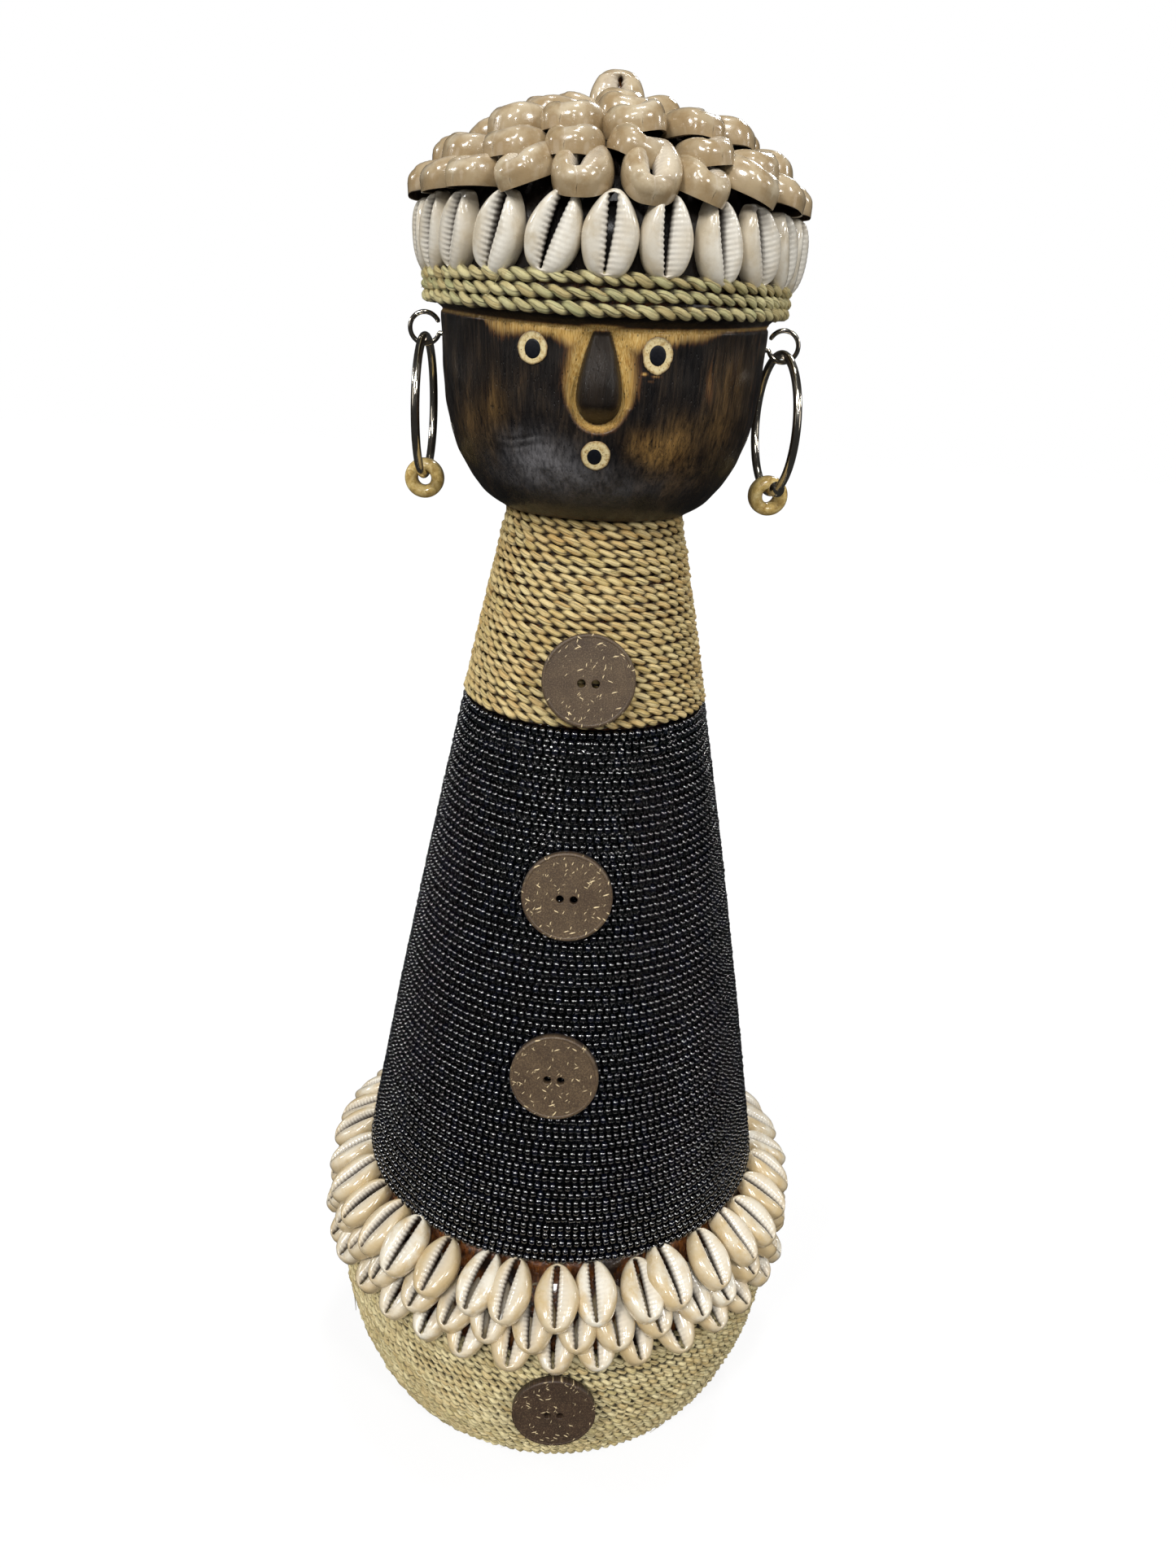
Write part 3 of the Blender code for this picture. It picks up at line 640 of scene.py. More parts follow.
# ---------------------------------------------------------------- the cone
def cone_radius(height):
    """Radius of the surface that the rope and the beads are wound on."""
    slope = (NECK_FOOT_RADIUS - FOOT_RADIUS) / (NECK_LOW - BEADS_LOW)
    share = (height - BEADS_LOW) / (NECK_HIGH - BEADS_LOW)
    bulge = CONE_BULGE * 4 * share * (1 - share)
    at_neck = (NECK_LOW - BEADS_LOW) / (NECK_HIGH - BEADS_LOW)
    offset = CONE_BULGE * 4 * at_neck * (1 - at_neck) * (height - BEADS_LOW) / (NECK_LOW - BEADS_LOW)
    return FOOT_RADIUS + slope * (height - BEADS_LOW) + bulge - offset


def base_radius(height):
    """Radius of the rounded base under its rope, widest at its belly."""
    t = np.clip((height - BASE_BELLY) / BASE_BELLY, -1, 1)
    swell = np.where(t < 0, 11.2 * np.abs(t) ** 2.2, 9.0 * np.abs(t) ** 2)
    return half_width("base_rope") - ROPE - swell


def wound(radius_at, low_end, high_end, pitch, step, wobble=0.0):
    """Points along level turns that climb to the next one at the back, at even steps.

    Gives the position on the surface, the outward and the rising direction, and the length.
    """
    heights = np.linspace(low_end, high_end, 400)
    climb = np.concatenate([[0], np.cumsum(np.hypot(np.diff(heights), np.diff(radius_at(heights))))])
    rows = int(round(climb[-1] / pitch)) + 1
    turn = np.linspace(0, rows, rows * 720)
    row = np.minimum(np.floor(turn) + smooth(0.93, 1.0, turn % 1.0), rows - 1)
    height = np.interp(row * climb[-1] / (rows - 1), climb, heights)
    angle = TURN * (turn + 0.25)
    waver = np.sin(angle * 3 + 5 * np.sin(angle / 9)) * np.sin(angle / 7.3) + 0.6 * np.sin(angle * 7.3)
    ends = smooth(0, 1, row) * smooth(rows - 1, rows - 2, row)
    height = height + wobble * waver * ends
    radius = radius_at(height)
    length = np.concatenate([[0], np.cumsum(np.hypot(np.diff(angle) * radius[1:], np.diff(height)))])
    even = np.arange(0, length[-1], step)
    angle, height = np.interp(even, length, angle), np.interp(even, length, height)
    slope = (radius_at(height + 0.5) - radius_at(height - 0.5))[:, None]
    out = np.stack([np.cos(angle), np.sin(angle), 0 * angle], -1)
    up = np.array([0.0, 0.0, 1.0])
    normal = normalised(out - slope * up)
    rise = normalised(slope * out + up)
    surface = out * radius_at(height)[:, None] + up * height[:, None]
    return surface, normal, rise, even


# ---------------------------------------------------------------- beads
def bead_template():
    """A short rounded bead on its Y axis, with a hole."""
    half, outer, hole = BEAD_STEP * 0.485, BEAD_WIDTH / 2, 0.4
    section = [
        (outer * 0.62, -half),
        (outer * 0.98, -half * 0.42),
        (outer * 0.98, half * 0.42),
        (outer * 0.62, half),
        (hole, 0.0),
    ]
    sides = 8
    angle = TURN * np.arange(sides) / sides
    points = np.array([[(r * math.cos(a), y, r * math.sin(a)) for a in angle] for r, y in section])
    flat = points.reshape(-1, 3)
    return flat, outward(flat, grid(len(section), sides, True, True))


def make_beads():
    margin = BEAD_WIDTH / 2
    surface, normal, rise, _ = wound(
        cone_radius, BEADS_LOW + margin, BEADS_HIGH - margin, BEAD_ROW, BEAD_STEP, wobble=0.12
    )
    count = len(surface)
    spin = RNG.normal(0, 0.09, (count, 1))
    along = normalised(np.cross(rise, normal)) + spin * rise + RNG.normal(0, 0.07, (count, 1)) * normal
    axes = axes_of(along, normal)
    axes = axes * (1 + RNG.normal(0, 0.035, (count, 1, 1)))
    origin = surface + normal * (BEAD_WIDTH / 2 + RNG.normal(0, 0.06, (count, 1)))
    origin = origin + rise * RNG.normal(0, 0.07, (count, 1))
    points, quads = bead_template()
    # the ends of each bead, which the glass look darkens as painted shade
    rim = np.abs(points[:, 1]) > BEAD_STEP * 0.4
    tints = RNG.random(count) ** 3
    for number, part in enumerate(np.array_split(np.arange(count), 6), 1):
        shape = Shape()
        shape.copies(points, quads, (axes[part], origin[part]), tint=tints[part], rim=rim)
        if number == 1:
            sleeve(shape, cone_radius, BEADS_LOW, BEADS_HIGH, 0)
        nodes = ("bead_winding",) if number == 1 else ()
        shape.make("bead_rows_%d" % number, [GLASS], nodes)


# ---------------------------------------------------------------- ropes
def twisted(shape, path, thickness, lay, sides, seed, rough=0.07):
    """Two plies of grass laid round each other along a wound path."""
    surface, normal, rise, length = path
    rng = np.random.default_rng(seed)
    knots = np.arange(length[0], length[-1] + 25, 9.0)
    slip = np.interp(length, knots, np.cumsum(rng.normal(0, 0.3, len(knots))))
    for number in (0, 1):
        angle = slip + number * math.pi - TURN * length / lay
        drift = np.interp(length, knots, rng.normal(0, 1, len(knots)))
        reach = thickness * 0.21 * (1 + 0.8 * rough * drift)
        middle = (
            surface
            + normal * (thickness / 2 + reach * np.cos(angle))[:, None]
            + rise * (reach * np.sin(angle) * 1.1)[:, None]
        )
        bunch = 1 + 0.12 * np.cos(2 * angle + 0.6)
        swell = (1 + rough * drift + rng.normal(0, 0.35 * rough, len(length))) * bunch
        tube(
            shape,
            middle,
            thickness * 0.295 * swell,
            sides,
            normal,
            swell=lambda a, k: 1 + 0.09 * np.cos(3 * a - length[k] * 0.35 + number),
            along=length,
            # how far this ply lies under the other one, which the rope look paints as shade
            under=0.5 - 0.5 * np.cos(angle),
            ply=float(number) + 2.0 * seed,
        )


def stray(shape, path, count, length_range, seed):
    """Loose fibres that stand off a rope."""
    surface, normal, rise, _ = path
    rng = np.random.default_rng(seed)
    for pick in rng.integers(40, len(surface) - 40, count):
        size = rng.uniform(*length_range)
        along = normalised(np.cross(rise[pick], normal[pick])) * rng.choice((-1, 1))
        side = rise[pick] * rng.normal(0, 0.45)
        t = np.linspace(0, 1, 7)[:, None]
        lift = normal[pick] * (ROPE * 0.92 + size * 0.16 * t**1.6 * rng.uniform(0.1, 1.0) + 0.1)
        line = surface[pick] + (along + side) * size * t + lift
        line[:, 2] = np.maximum(line[:, 2], 0.4)
        thin = rng.uniform(0.09, 0.2)
        normals = np.repeat(normal[pick][None], 7, 0)
        thinner = thin * (1 - 0.6 * t[:, 0])
        tube(shape, line, thinner, 4, normals, along=t[:, 0] * size, ply=float(pick % 9))


def sleeve(shape, radius_at, low_end, high_end, number):
    """Dark bed under a winding."""
    heights = np.linspace(low_end, high_end, 20)
    outside = [(float(radius_at(z)) + 0.5, z) for z in heights]
    inside = [(float(radius_at(z)) - 0.5, z) for z in heights[::-1]]
    revolve(shape, outside + inside, 96, number, closed=True)


def make_ropes():
    margin = ROPE * 0.5
    neck = wound(cone_radius, NECK_LOW + margin, NECK_HIGH - margin, 2.42, 0.8, wobble=0.16)
    shape = Shape()
    twisted(shape, neck, ROPE, PLY_LAY, 7, 3, rough=0.1)
    stray(shape, neck, 7, (3, 7), 5)
    sleeve(shape, cone_radius, NECK_LOW, NECK_HIGH, 1)
    shape.make("neck_rope_turns", [NECK_ROPE, CORE], ("neck_rope",))

    band_at = lambda z: BAND_RADIUS - BAND_ROPE + 0 * z
    band = wound(band_at, BAND_LOW + 1.2, BAND_HIGH + 0.0, 3.4, 0.5, wobble=0.14)
    aside = (band[0][:, 0] / BAND_RADIUS) ** 2
    band[0][:, 2] += BAND_RISE * aside * (BAND_HIGH - band[0][:, 2]) / (BAND_HIGH - BAND_LOW)
    shape = Shape()
    twisted(shape, band, BAND_ROPE, PLY_LAY, 10, 8, rough=0.1)
    stray(shape, band, 6, (3, 7), 9)
    sleeve(shape, band_at, BAND_LOW + 1.6, BAND_HIGH, 1)
    shape.make("head_band_turns", [BAND_STRAW, CORE], ("head_rope_band",))

    base_low, base_high = low("base_rope")[2], high("base_rope")[2]
    base = wound(base_radius, base_low + 2.6, base_high - 0.5, 2.5, 0.78, wobble=0.3)
    parts = 4
    for number, pick in enumerate(np.array_split(np.arange(len(base[0])), parts)):
        pick = np.append(pick, pick[-1] + 1) if number < parts - 1 else pick
        shape = Shape()
        piece = tuple(values[pick] for values in base)
        twisted(shape, piece, ROPE, BASE_LAY, 6, 20 + number, rough=0.17)
        stray(shape, piece, 6, (3, 7), 30 + number)
        if number == 0:
            sleeve(shape, base_radius, base_low, base_high, 1)
        nodes = ("base_rope",) if number == 0 else ()
        shape.make("base_rope_turns_%d" % (number + 1), [BASE_STRAW, CORE], nodes)


# ---------------------------------------------------------------- cowries
def cowrie(
    size, sections, fine, bow, gap, teeth, bulge,
    reach=0.93, notch=0.0, power=0.88, taper=0.15, flare=0.45, wider=1.0,
):
    """A cowrie with its back cut off, cut side down at z = 0, slot up, narrow end towards +Y.

    It is two lips swept along Y. The ring of each section starts deep in the slot, goes over
    the lip and down the side to the cut rim, and comes back up inside. Beyond the share reach
    of its half length the slot is closed and the lips overlap a little in one rounded end.
    Bow bends the slot, gap is half its width, bulge thickens the right lip, notch opens the
    slot's ends, power and taper shape the outline, and flare and wider open the slot more.
    """
    length, width, height = size
    u = np.linspace(-1, 1, sections)
    v = 0.5 * np.sin(u * math.pi / 2) + 0.5 * u
    far_along = np.abs(v)
    tip = np.sqrt(np.clip(1 - v * v, 0, 1))
    narrow = np.clip(v, 0, 1)
    form = tip ** (power + 0.5 * narrow) * (1 - taper * v + 0.03 * np.cos(5 * v + bow))
    half = 0.6 + (width / 2 - 0.6) * form
    waist = 0.34 * height
    crest = waist + 0.3 + (height - waist - 0.3) * np.sqrt(np.clip(1 - far_along**2.6, 0, 1))
    middle = bow * (v * v - 0.4) + 0.5 * bow * v - 0.3
    middle = middle * smooth(1.0, 0.85, far_along)
    ends = smooth(reach - 0.12, reach, far_along)
    joined = smooth(reach - 0.05, reach + 0.01, far_along)
    wide = gap * wider * (1 + flare * v) * (0.6 + 0.4 * tip)
    wide = wide + notch * bell((far_along - reach + 0.1) / 0.06)
    open_half = np.minimum(wide * smooth(reach, reach - 0.07, far_along), 0.42 * half)
    wave = 0.5 + 0.5 * np.cos(teeth * math.pi * (v + 1) * 0.96)
    wave = wave * smooth(reach - 0.02, reach - 0.14, far_along)
    lips = (-20, 6, 30, 56, 80) if fine else (-20, 20, 62)
    outer = (80, 64, 47, 30, 14, 0) if fine else (84, 58, 32, 6)
    sides = []
    for side in (-1, 1):
        left = side < 0
        strong = 1.0 if left else 0.55
        past = middle - side * 0.3
        edge = middle + side * (open_half - 0.26 * strong * wave * (1 - ends))
        edge = edge * (1 - joined) + past * joined
        out = side * half
        crown = (0.36 if left else 0.5 + 0.06 * bulge) * (1 - 0.7 * joined)
        top = middle + side * open_half + side * crown * np.abs(out - middle - side * open_half)
        depth = crest * (0.46 - 0.2 * ends)
        depth = depth * (1 - joined) + 0.06 * joined
        span = v * length / 2 * (1.0 if left else 0.997)
        ring, lip, groove, hollow, flank = [], [], [], [], []

        def point(x, z, near=0.0, dark=0.0, inside=0.0, down=0.0):
            ring.append(np.stack([x, span, z], -1))
            lip.append(near * tip)
            # groove is the painted shade between the teeth; inside is how much of the slot's dark glue and
            # painted shade a point takes
            groove.append(dark * (1 - wave) * (1 - ends))
            hollow.append(inside * (far_along < 0.998))
            flank.append(down + 0 * v)

        for angle in np.radians(lips):
            x = top + (edge - top) * math.cos(angle)
            z = crest - depth * (1 - math.sin(angle))
            if angle < 0:
                x = x * (1 - joined) + (middle + side * 0.05) * joined
                z = z - 0.3 * crest * joined
            soft = math.cos(angle) ** 1.5 if left else math.cos(angle) ** 0.6
            ridge = 0.12 * strong * (wave - 0.5) * (1 - ends) * soft
            fade = max(0.0, math.cos(angle)) if left else max(0.0, 0.35 + 0.65 * math.cos(angle))
            inside = (0.97 if angle < 0 else 0.6 if angle < 0.2 else 0.0) * (1 - joined)
            point(x, z + ridge, fade, fade**3 * (1.0 if left else 0.5), inside)
        for angle in np.radians(outer):
            x = top + (out - top) * math.cos(angle) ** 0.9
            z = waist + (crest - waist) * math.sin(angle) ** 0.85
            far = 1 - math.sin(angle)
            ridge = 0.0 if left else 0.06 * (wave - 0.5) * (1 - ends) * max(0.0, 1 - far * 4)
            point(x, z + ridge, 0.0 if left else max(0.0, 0.35 - far), 0.0, 0.0, far)
        if fine:
            point(out * 0.99, 0.45 * waist + 0 * v, 0.0, 0.0, 0.0, 1.0)
        point(out * 0.94, 0 * v, 0.0, 0.0, 0.15, 1.0)
        floor = crest - (0.62 * crest * (1 - joined) + 0.5 * crest * joined)
        least = 0.06 * (1 - joined) - 0.05 * joined
        clear = lambda x: middle + side * np.maximum(side * (x - middle), least)
        point(clear(out * 0.94 - side * 0.8), 0 * v, 0.0, 0.0, 0.8)
        if fine:
            point(clear(out - side * 1.0), np.minimum(waist, 0.7 * floor), 0.0, 0.0, 1.0)
        inner_top = np.minimum(waist + 0.5 * (crest - waist), floor - 0.25)
        point(clear(out - side * 1.9), inner_top, 0.0, 0.0, 1.0)
        ring = np.stack(ring, 1)
        count = ring.shape[1]
        flat = ring.reshape(-1, 3)
        values = [np.stack(value, 1).ravel() for value in (lip, groove, hollow, flank)]
        sides.append((flat, outward(flat, capped(sections, count)), values))
    (left, left_quads, left_values), (right, right_quads, right_values) = sides
    points = np.concatenate([left, right])
    quads = np.concatenate([left_quads, right_quads + len(left)])
    names = ("lip", "groove", "hollow", "side")
    joined = {n: np.concatenate([a, b]) for n, a, b in zip(names, left_values, right_values)}
    return points, quads, joined


def cowrie_kinds(fine, sections, scale, **form):
    """A few cowries that differ in their slot and form."""
    kinds = []
    for bow, gap, teeth, bulge, wide in (
        (0.5, 0.78, 16, 1.0, 1.0),
        (-0.3, 0.66, 15, 0.4, 1.04),
        (0.8, 0.85, 17, -0.4, 0.95),
        (0.2, 0.6, 16, 1.6, 1.02),
    ):
        size = [a * b for a, b in zip(SHELL_SIZE, scale)]
        size[1] *= wide
        kinds.append(cowrie(size, sections, fine, bow, gap, teeth, bulge, **form))
    return kinds


def add_cowrie(shape, kind, origin, along, out, tint, scale=1.0):
    points, quads, values = kind
    axes = axes_of(along, out) * scale
    shape.add(points @ axes.T + origin, quads, tint=tint, **values)


def make_row():
    """Upright cowries on the cap, narrow end up; those at the front lean as the leans say."""
    leans = {-5: 16, -4: 18, -3: 20, -2: 21, -1: 19, 0: 5, 1: -2, 2: -12, 3: -19, 4: -18, 5: -12}
    order = [1, 0, 2, 3]
    kinds = cowrie_kinds(True, 96, ROW_SCALE, flare=0.8, wider=1.1)
    nodes = sorted(name for name in frame["nodes"] if name.startswith("row_shell_"))
    count = len(nodes)
    for index, node in enumerate(nodes):
        offset = index if index <= count // 2 else index - count
        lean = math.radians(leans.get(offset, RNG.normal(0, 6)))
        out, beside, up = compass(TURN * index / count + math.radians(RNG.normal(0, 0.5)))
        along = up * math.cos(lean) + beside * math.sin(lean) + out * RNG.normal(0.03, 0.03)
        wall = math.hypot(*centre(node)[:2]) - ROW_SET_IN
        origin = out * wall + up * (low(node)[2] + ROW_LIFT + RNG.normal(0, 0.3))
        facing = out + beside * RNG.normal(0, 0.08)
        shape = Shape()
        tint, size = RNG.random() * 0.8, RNG.uniform(0.97, 1.02)
        add_cowrie(shape, kinds[order[index % 4]], origin, along, facing, tint, scale=size)
        shape.make(node.replace("shell", "cowrie"), [ROW_SHELL], (node,), sharp=55)


def make_tier(
    name, node, look, kinds, scale, count, start, radius, height, dip, slot, roll=0.12, specials=None
):
    """Radiating cowries, broad end out, whose outer ends lie at one radius and height.

    The specials are single shells: more dip, a lower outer end and a roll to one side.
    """
    shape = Shape()
    for index in range(count):
        out, beside, up = compass(math.radians(start + 360 * index / count + RNG.normal(0, 0.8)))
        more_dip, drop, turn = (specials or {}).get(index, (0.0, 0.0, 0.0))
        lean = math.radians(dip + more_dip + RNG.normal(0, 2.5))
        far, tall = radius + RNG.normal(0, 0.4), height - drop + RNG.normal(0, 0.4)
        along = out * math.cos(lean) - up * math.sin(lean) + beside * RNG.normal(0, 0.05)
        facing = out * math.sin(lean) + up * math.cos(lean) + beside * (RNG.normal(0, roll) + turn)
        kind = kinds[RNG.integers(len(kinds))]
        size = RNG.uniform(0.95, 1.03)
        origin = out * far + up * tall - normalised(along) * SHELL_SIZE[0] * scale[0] / 2 * size
        origin = origin - normalised(facing) * SHELL_SIZE[2] * scale[2] / 2 * size
        add_cowrie(shape, kind, origin, -along, facing, RNG.random(), scale=size)
    shape.make(name, [look], (node,), sharp=55)


def make_crown():
    """Five shingled tiers that close in towards the top, and one cowrie standing in the middle."""
    form = dict(reach=0.8, notch=0.12, wider=0.75)
    fine, plain = (cowrie_kinds(True, sections, CROWN_SCALE, **form) for sections in (64, 48))
    front = {
        0: (27.0, 2.4, 0.05),
        1: (12.0, 1.2, 0.3),
        2: (9.0, 0.8, 0.15),
        18: (11.0, 0.6, -0.25),
        19: (17.0, 1.6, -0.05),
    }
    tiers = (
        # shells, first angle, how far out and how far below the solid's top the outer ends lie, dip
        (20, 9.7, 1.3, 5.4, 6.0, fine, front),
        (16, 8.0, 0.0, 4.9, -4.0, plain, {0: (9.0, 0.8, 0.35)}),
        (13, 8.0, 1.4, 5.0, -5.0, plain, {9: (14.0, 3.0, 0.0), 10: (14.0, 3.4, 0.0)}),
        (6, 5.0, 1.0, 6.2, -6.0, plain, {}),
        (4, 8.0, 0.0, 7.4, -22.0, plain, {}),
    )
    for number, (count, start, farther, below, dip, kinds, specials) in enumerate(tiers, 1):
        node = "crown_tier_%d" % number
        place = (half_width(node) + farther, high(node)[2] - below, dip)
        name, slot = "crown_cowries_%d" % number, "cowrie_shell"
        make_tier(
            name, node, WARM_SHELL, kinds, CROWN_SCALE, count, start, *place, slot, specials=specials
        )
    size = 0.97
    up = normalised(np.array([0.04, 0.22, 1.0]))
    out = np.array([0.0, -1.0, 0.22])
    origin = np.array([0.4, 1.8, high("crown_apex_shell")[2] - 0.9])
    origin = origin - up * SHELL_SIZE[0] * CROWN_SCALE[0] / 2 * size
    shape = Shape()
    add_cowrie(shape, fine[0], origin, -up, out, 0.5, scale=size)
    filling = [(0.3, -7.0), (3.0, -5.5), (4.2, 0.0), (3.6, 5.5), (2.2, 7.4), (0.3, 8.0)]
    beside, along, outer = axes_of(up, out).T
    axes = np.stack([beside, outer * 0.45, along], -1)
    revolve(shape, filling, 16, 1, axes=axes, origin=origin + out * 1.3)
    looks = [WARM_SHELL, CORE]
    shape.make("crown_cowrie_top", looks, ("crown_apex_shell",), sharp=55)


def make_collar():
    """Three overlapping tiers of white cowries that hang over the base, slot outward."""
    form = dict(power=1.05, taper=0.06, wider=1.3)
    fine, plain = (cowrie_kinds(True, sections, COLLAR_SCALE, **form) for sections in (64, 48))
    tiers = (
        # first angle, height of the outer ends above the solid's foot, dip
        (0.7, 1.9, 33.0, fine),
        (5.7, 1.0, 32.0, plain),
        (0.7, 1.0, 31.0, plain),
    )
    for number, (start, above, dip, kinds) in enumerate(tiers, 1):
        node = "collar_tier_%d" % number
        place = (half_width(node), low(node)[2] + above, dip)
        name, slot = "collar_cowries_%d" % number, "white_cowrie_shell"
        make_tier(name, node, PALE_SHELL, kinds, COLLAR_SCALE, 36, start, *place, slot, roll=0.14)


# ---------------------------------------------------------------- head
def bowl_radius(z):
    """The bowl's radius at heights z, rounded between the places of its profile."""
    places = HEAD_LOW + np.array([0.0, 1.2, 3.4, 7.9, 14.0, 20.0, 27.0, 34.5, 41.5, 47.3])
    radii = [24.6, 27.6, 30.6, 34.4, 38.0, 40.2, 41.7, 42.4, 42.7, 43.1]
    fine = np.linspace(HEAD_LOW - 4, HEAD_LOW + 52, 560)
    kernel = bell(np.linspace(-2, 2, 41))
    padded = np.pad(np.interp(fine, places, radii), 20, mode="edge")
    return np.interp(z, fine, np.convolve(padded, kernel / kernel.sum(), "valid"))


def nose_half_width(height):
    """Half the width of the drop-shaped nose, from its round tip to its pointed top."""
    u = (height - NOSE_LOW) / NOSE_TALL
    lower = np.sqrt(np.clip(1 - (1 - u / NOSE_WIDEST) ** 2, 0, 1))
    upper = 1 - 0.82 * np.clip((u - NOSE_WIDEST) / (1 - NOSE_WIDEST), 0, 1) ** 1.6
    top = np.sqrt(np.clip((1.0 - u) / 0.08, 0, 1))
    half = NOSE_HALF * np.where(u < NOSE_WIDEST, lower, upper) * np.minimum(top, 1)
    return np.where(u < 0, 0.0, half)


def head_grid():
    """Angles, heights and uncarved radii of the head's points, closest together round the nose."""
    around = 42.0
    nose = np.arange(-15.0, 15.01, 0.26) / around
    cheek = np.arange(15.3, 62.0, 0.5) / around
    back = np.linspace(62.3 / around, TURN - 62.3 / around, 60)
    angle = np.concatenate([nose, cheek, back, TURN - cheek[::-1]])
    if len(angle) % 2:
        angle = np.delete(angle, len(nose) + len(cheek) + 20)
    face = np.concatenate([[HEAD_LOW], np.arange(HEAD_LOW + 0.35, LEDGE + 0.01, 0.34)])
    cap_radius = BAND_RADIUS - 3.4
    wall_top = HEAD_LOW + 71.4
    upper = [(cap_radius - 0.6, LEDGE + 0.5)]
    upper += [(cap_radius, level) for level in (LEDGE + 1.2, LEDGE + 8.0, HEAD_LOW + 62.0, wall_top)]
    for share in (0.81, 0.67, 0.47, 0.25, 0.07):
        dome = (HEAD_HIGH - wall_top - 0.2) * math.sqrt(1 - share**2)
        upper.append((cap_radius * share, wall_top + dome))
    upper = np.array(upper)
    a, h = np.meshgrid(angle, np.concatenate([face, upper[:, 1]]))
    r = np.concatenate([bowl_radius(face), upper[:, 0]])[:, None] + 0 * a
    return a, h, r


def head_values(a, x, h, brow, ledge, bare, distance, reach):
    """What the wood look reads: scraped gold, worn places, a painted sheen, and dark lines with painted
    shade over the cap above the ledge.

    Bare is 1 off the nose; distance and reach are those of the trench round it.
    """
    front = np.cos(a) > 0
    up = h - HEAD_LOW
    patch = lambda cx, cz, wx, wz: np.exp(-(((x - cx) / wx) ** 2) - ((up - cz) / wz) ** 2)
    margin = 1.2 + 2.2 * smooth(NOSE_LOW + 2, NOSE_LOW + 10, h)
    scraped = smooth(reach + margin, 0.0, distance) * front * bare
    places = [-40, -34, -29, -27.5, -25, -22, -18, -13, -10, -8, 0]
    places += [5, 8, 10, 13, 17, 20, 24, 26, 29, 34, 40]
    depths = [0.3, 0.8, 1.4, 5.0, 6.6, 5.4, 4.4, 4.2, 6.0, 8.0, 7.0]
    depths += [10.0, 9.0, 6.5, 5.4, 5.2, 4.6, 4.6, 3.0, 1.6, 0.9, 0.3]
    depth = np.interp(x, places, depths) + 0.3 * np.sin(x * 4.1) + 0.25 * np.sin(x * 9.7)
    strength = np.interp(np.abs(x), [0, 17, 25, 33, 42], [0.95, 0.9, 0.72, 0.42, 0.25])
    beneath = smooth(1.0, 0.15, (brow - h) / depth) * (h < brow) * strength * front
    seam = bell((h - brow) / 0.6) * smooth(-0.4, 0.1, np.cos(a)) * 0.8
    gold = np.maximum(np.maximum(scraped, beneath * bare), seam)
    gold = np.maximum(gold, 0.42 * patch(26.3, 35.7, 1.1, 6.0) * front)
    flakes = patch(10.0, 37.2, 0.9, 0.5) + 0.8 * patch(12.8, 36.7, 1.3, 0.35)
    flakes = flakes + 0.5 * patch(11.4, 35.6, 1.5, 0.4)
    gold = np.maximum(gold, 0.85 * flakes * front)
    gold = np.clip(gold, 0, 1) * smooth(ledge + 0.1, ledge - 0.5, h)
    gold = np.maximum(gold, smooth(HEAD_LOW + 1.8, HEAD_LOW + 0.6, h) * 0.25)
    worn = patch(14, 19.2, 4.5, 3.5) + 0.9 * patch(19.5, 20.7, 3.5, 5.5) + 0.6 * patch(10, 21.7, 4, 3)
    worn = worn + 0.5 * patch(-26, 28.2, 3.0, 6) + 0.5 * patch(32, 35.2, 4, 9)
    worn = worn + 0.3 * patch(-32, 22.2, 5, 6) + 0.4 * patch(29, 23.2, 5, 6) + 0.3 * patch(20, 13.2, 8, 4)
    # A painted sheen: a pale grey patch low on the left of the face, standing in for a highlight.
    painted_sheen = patch(-14, 15.7, 9, 5.5) + 0.6 * patch(-2, 10.7, 17, 4.0) + 0.3 * patch(-20, 21.2, 4, 2)
    # Dark lines round the foot of the nose and just above the brow; above the ledge, under the rope band,
    # painted shade.
    dark_line_and_shade = bell(distance / 0.34) * front * smooth(brow + 0.5, brow - 2, h) * 0.85
    dark_line_and_shade = np.maximum(dark_line_and_shade, smooth(ledge - 0.3, ledge + 0.2, h) * 0.9)
    dark_line_and_shade = np.maximum(dark_line_and_shade, bell((h - brow - 0.15) / 0.16) * front * 0.7)
    worn, painted_sheen = np.clip(worn, 0, 1) * front, np.clip(painted_sheen, 0, 1) * front
    return dict(gold=gold, worn=worn, painted_sheen=painted_sheen, dark_line_and_shade=dark_line_and_shade)


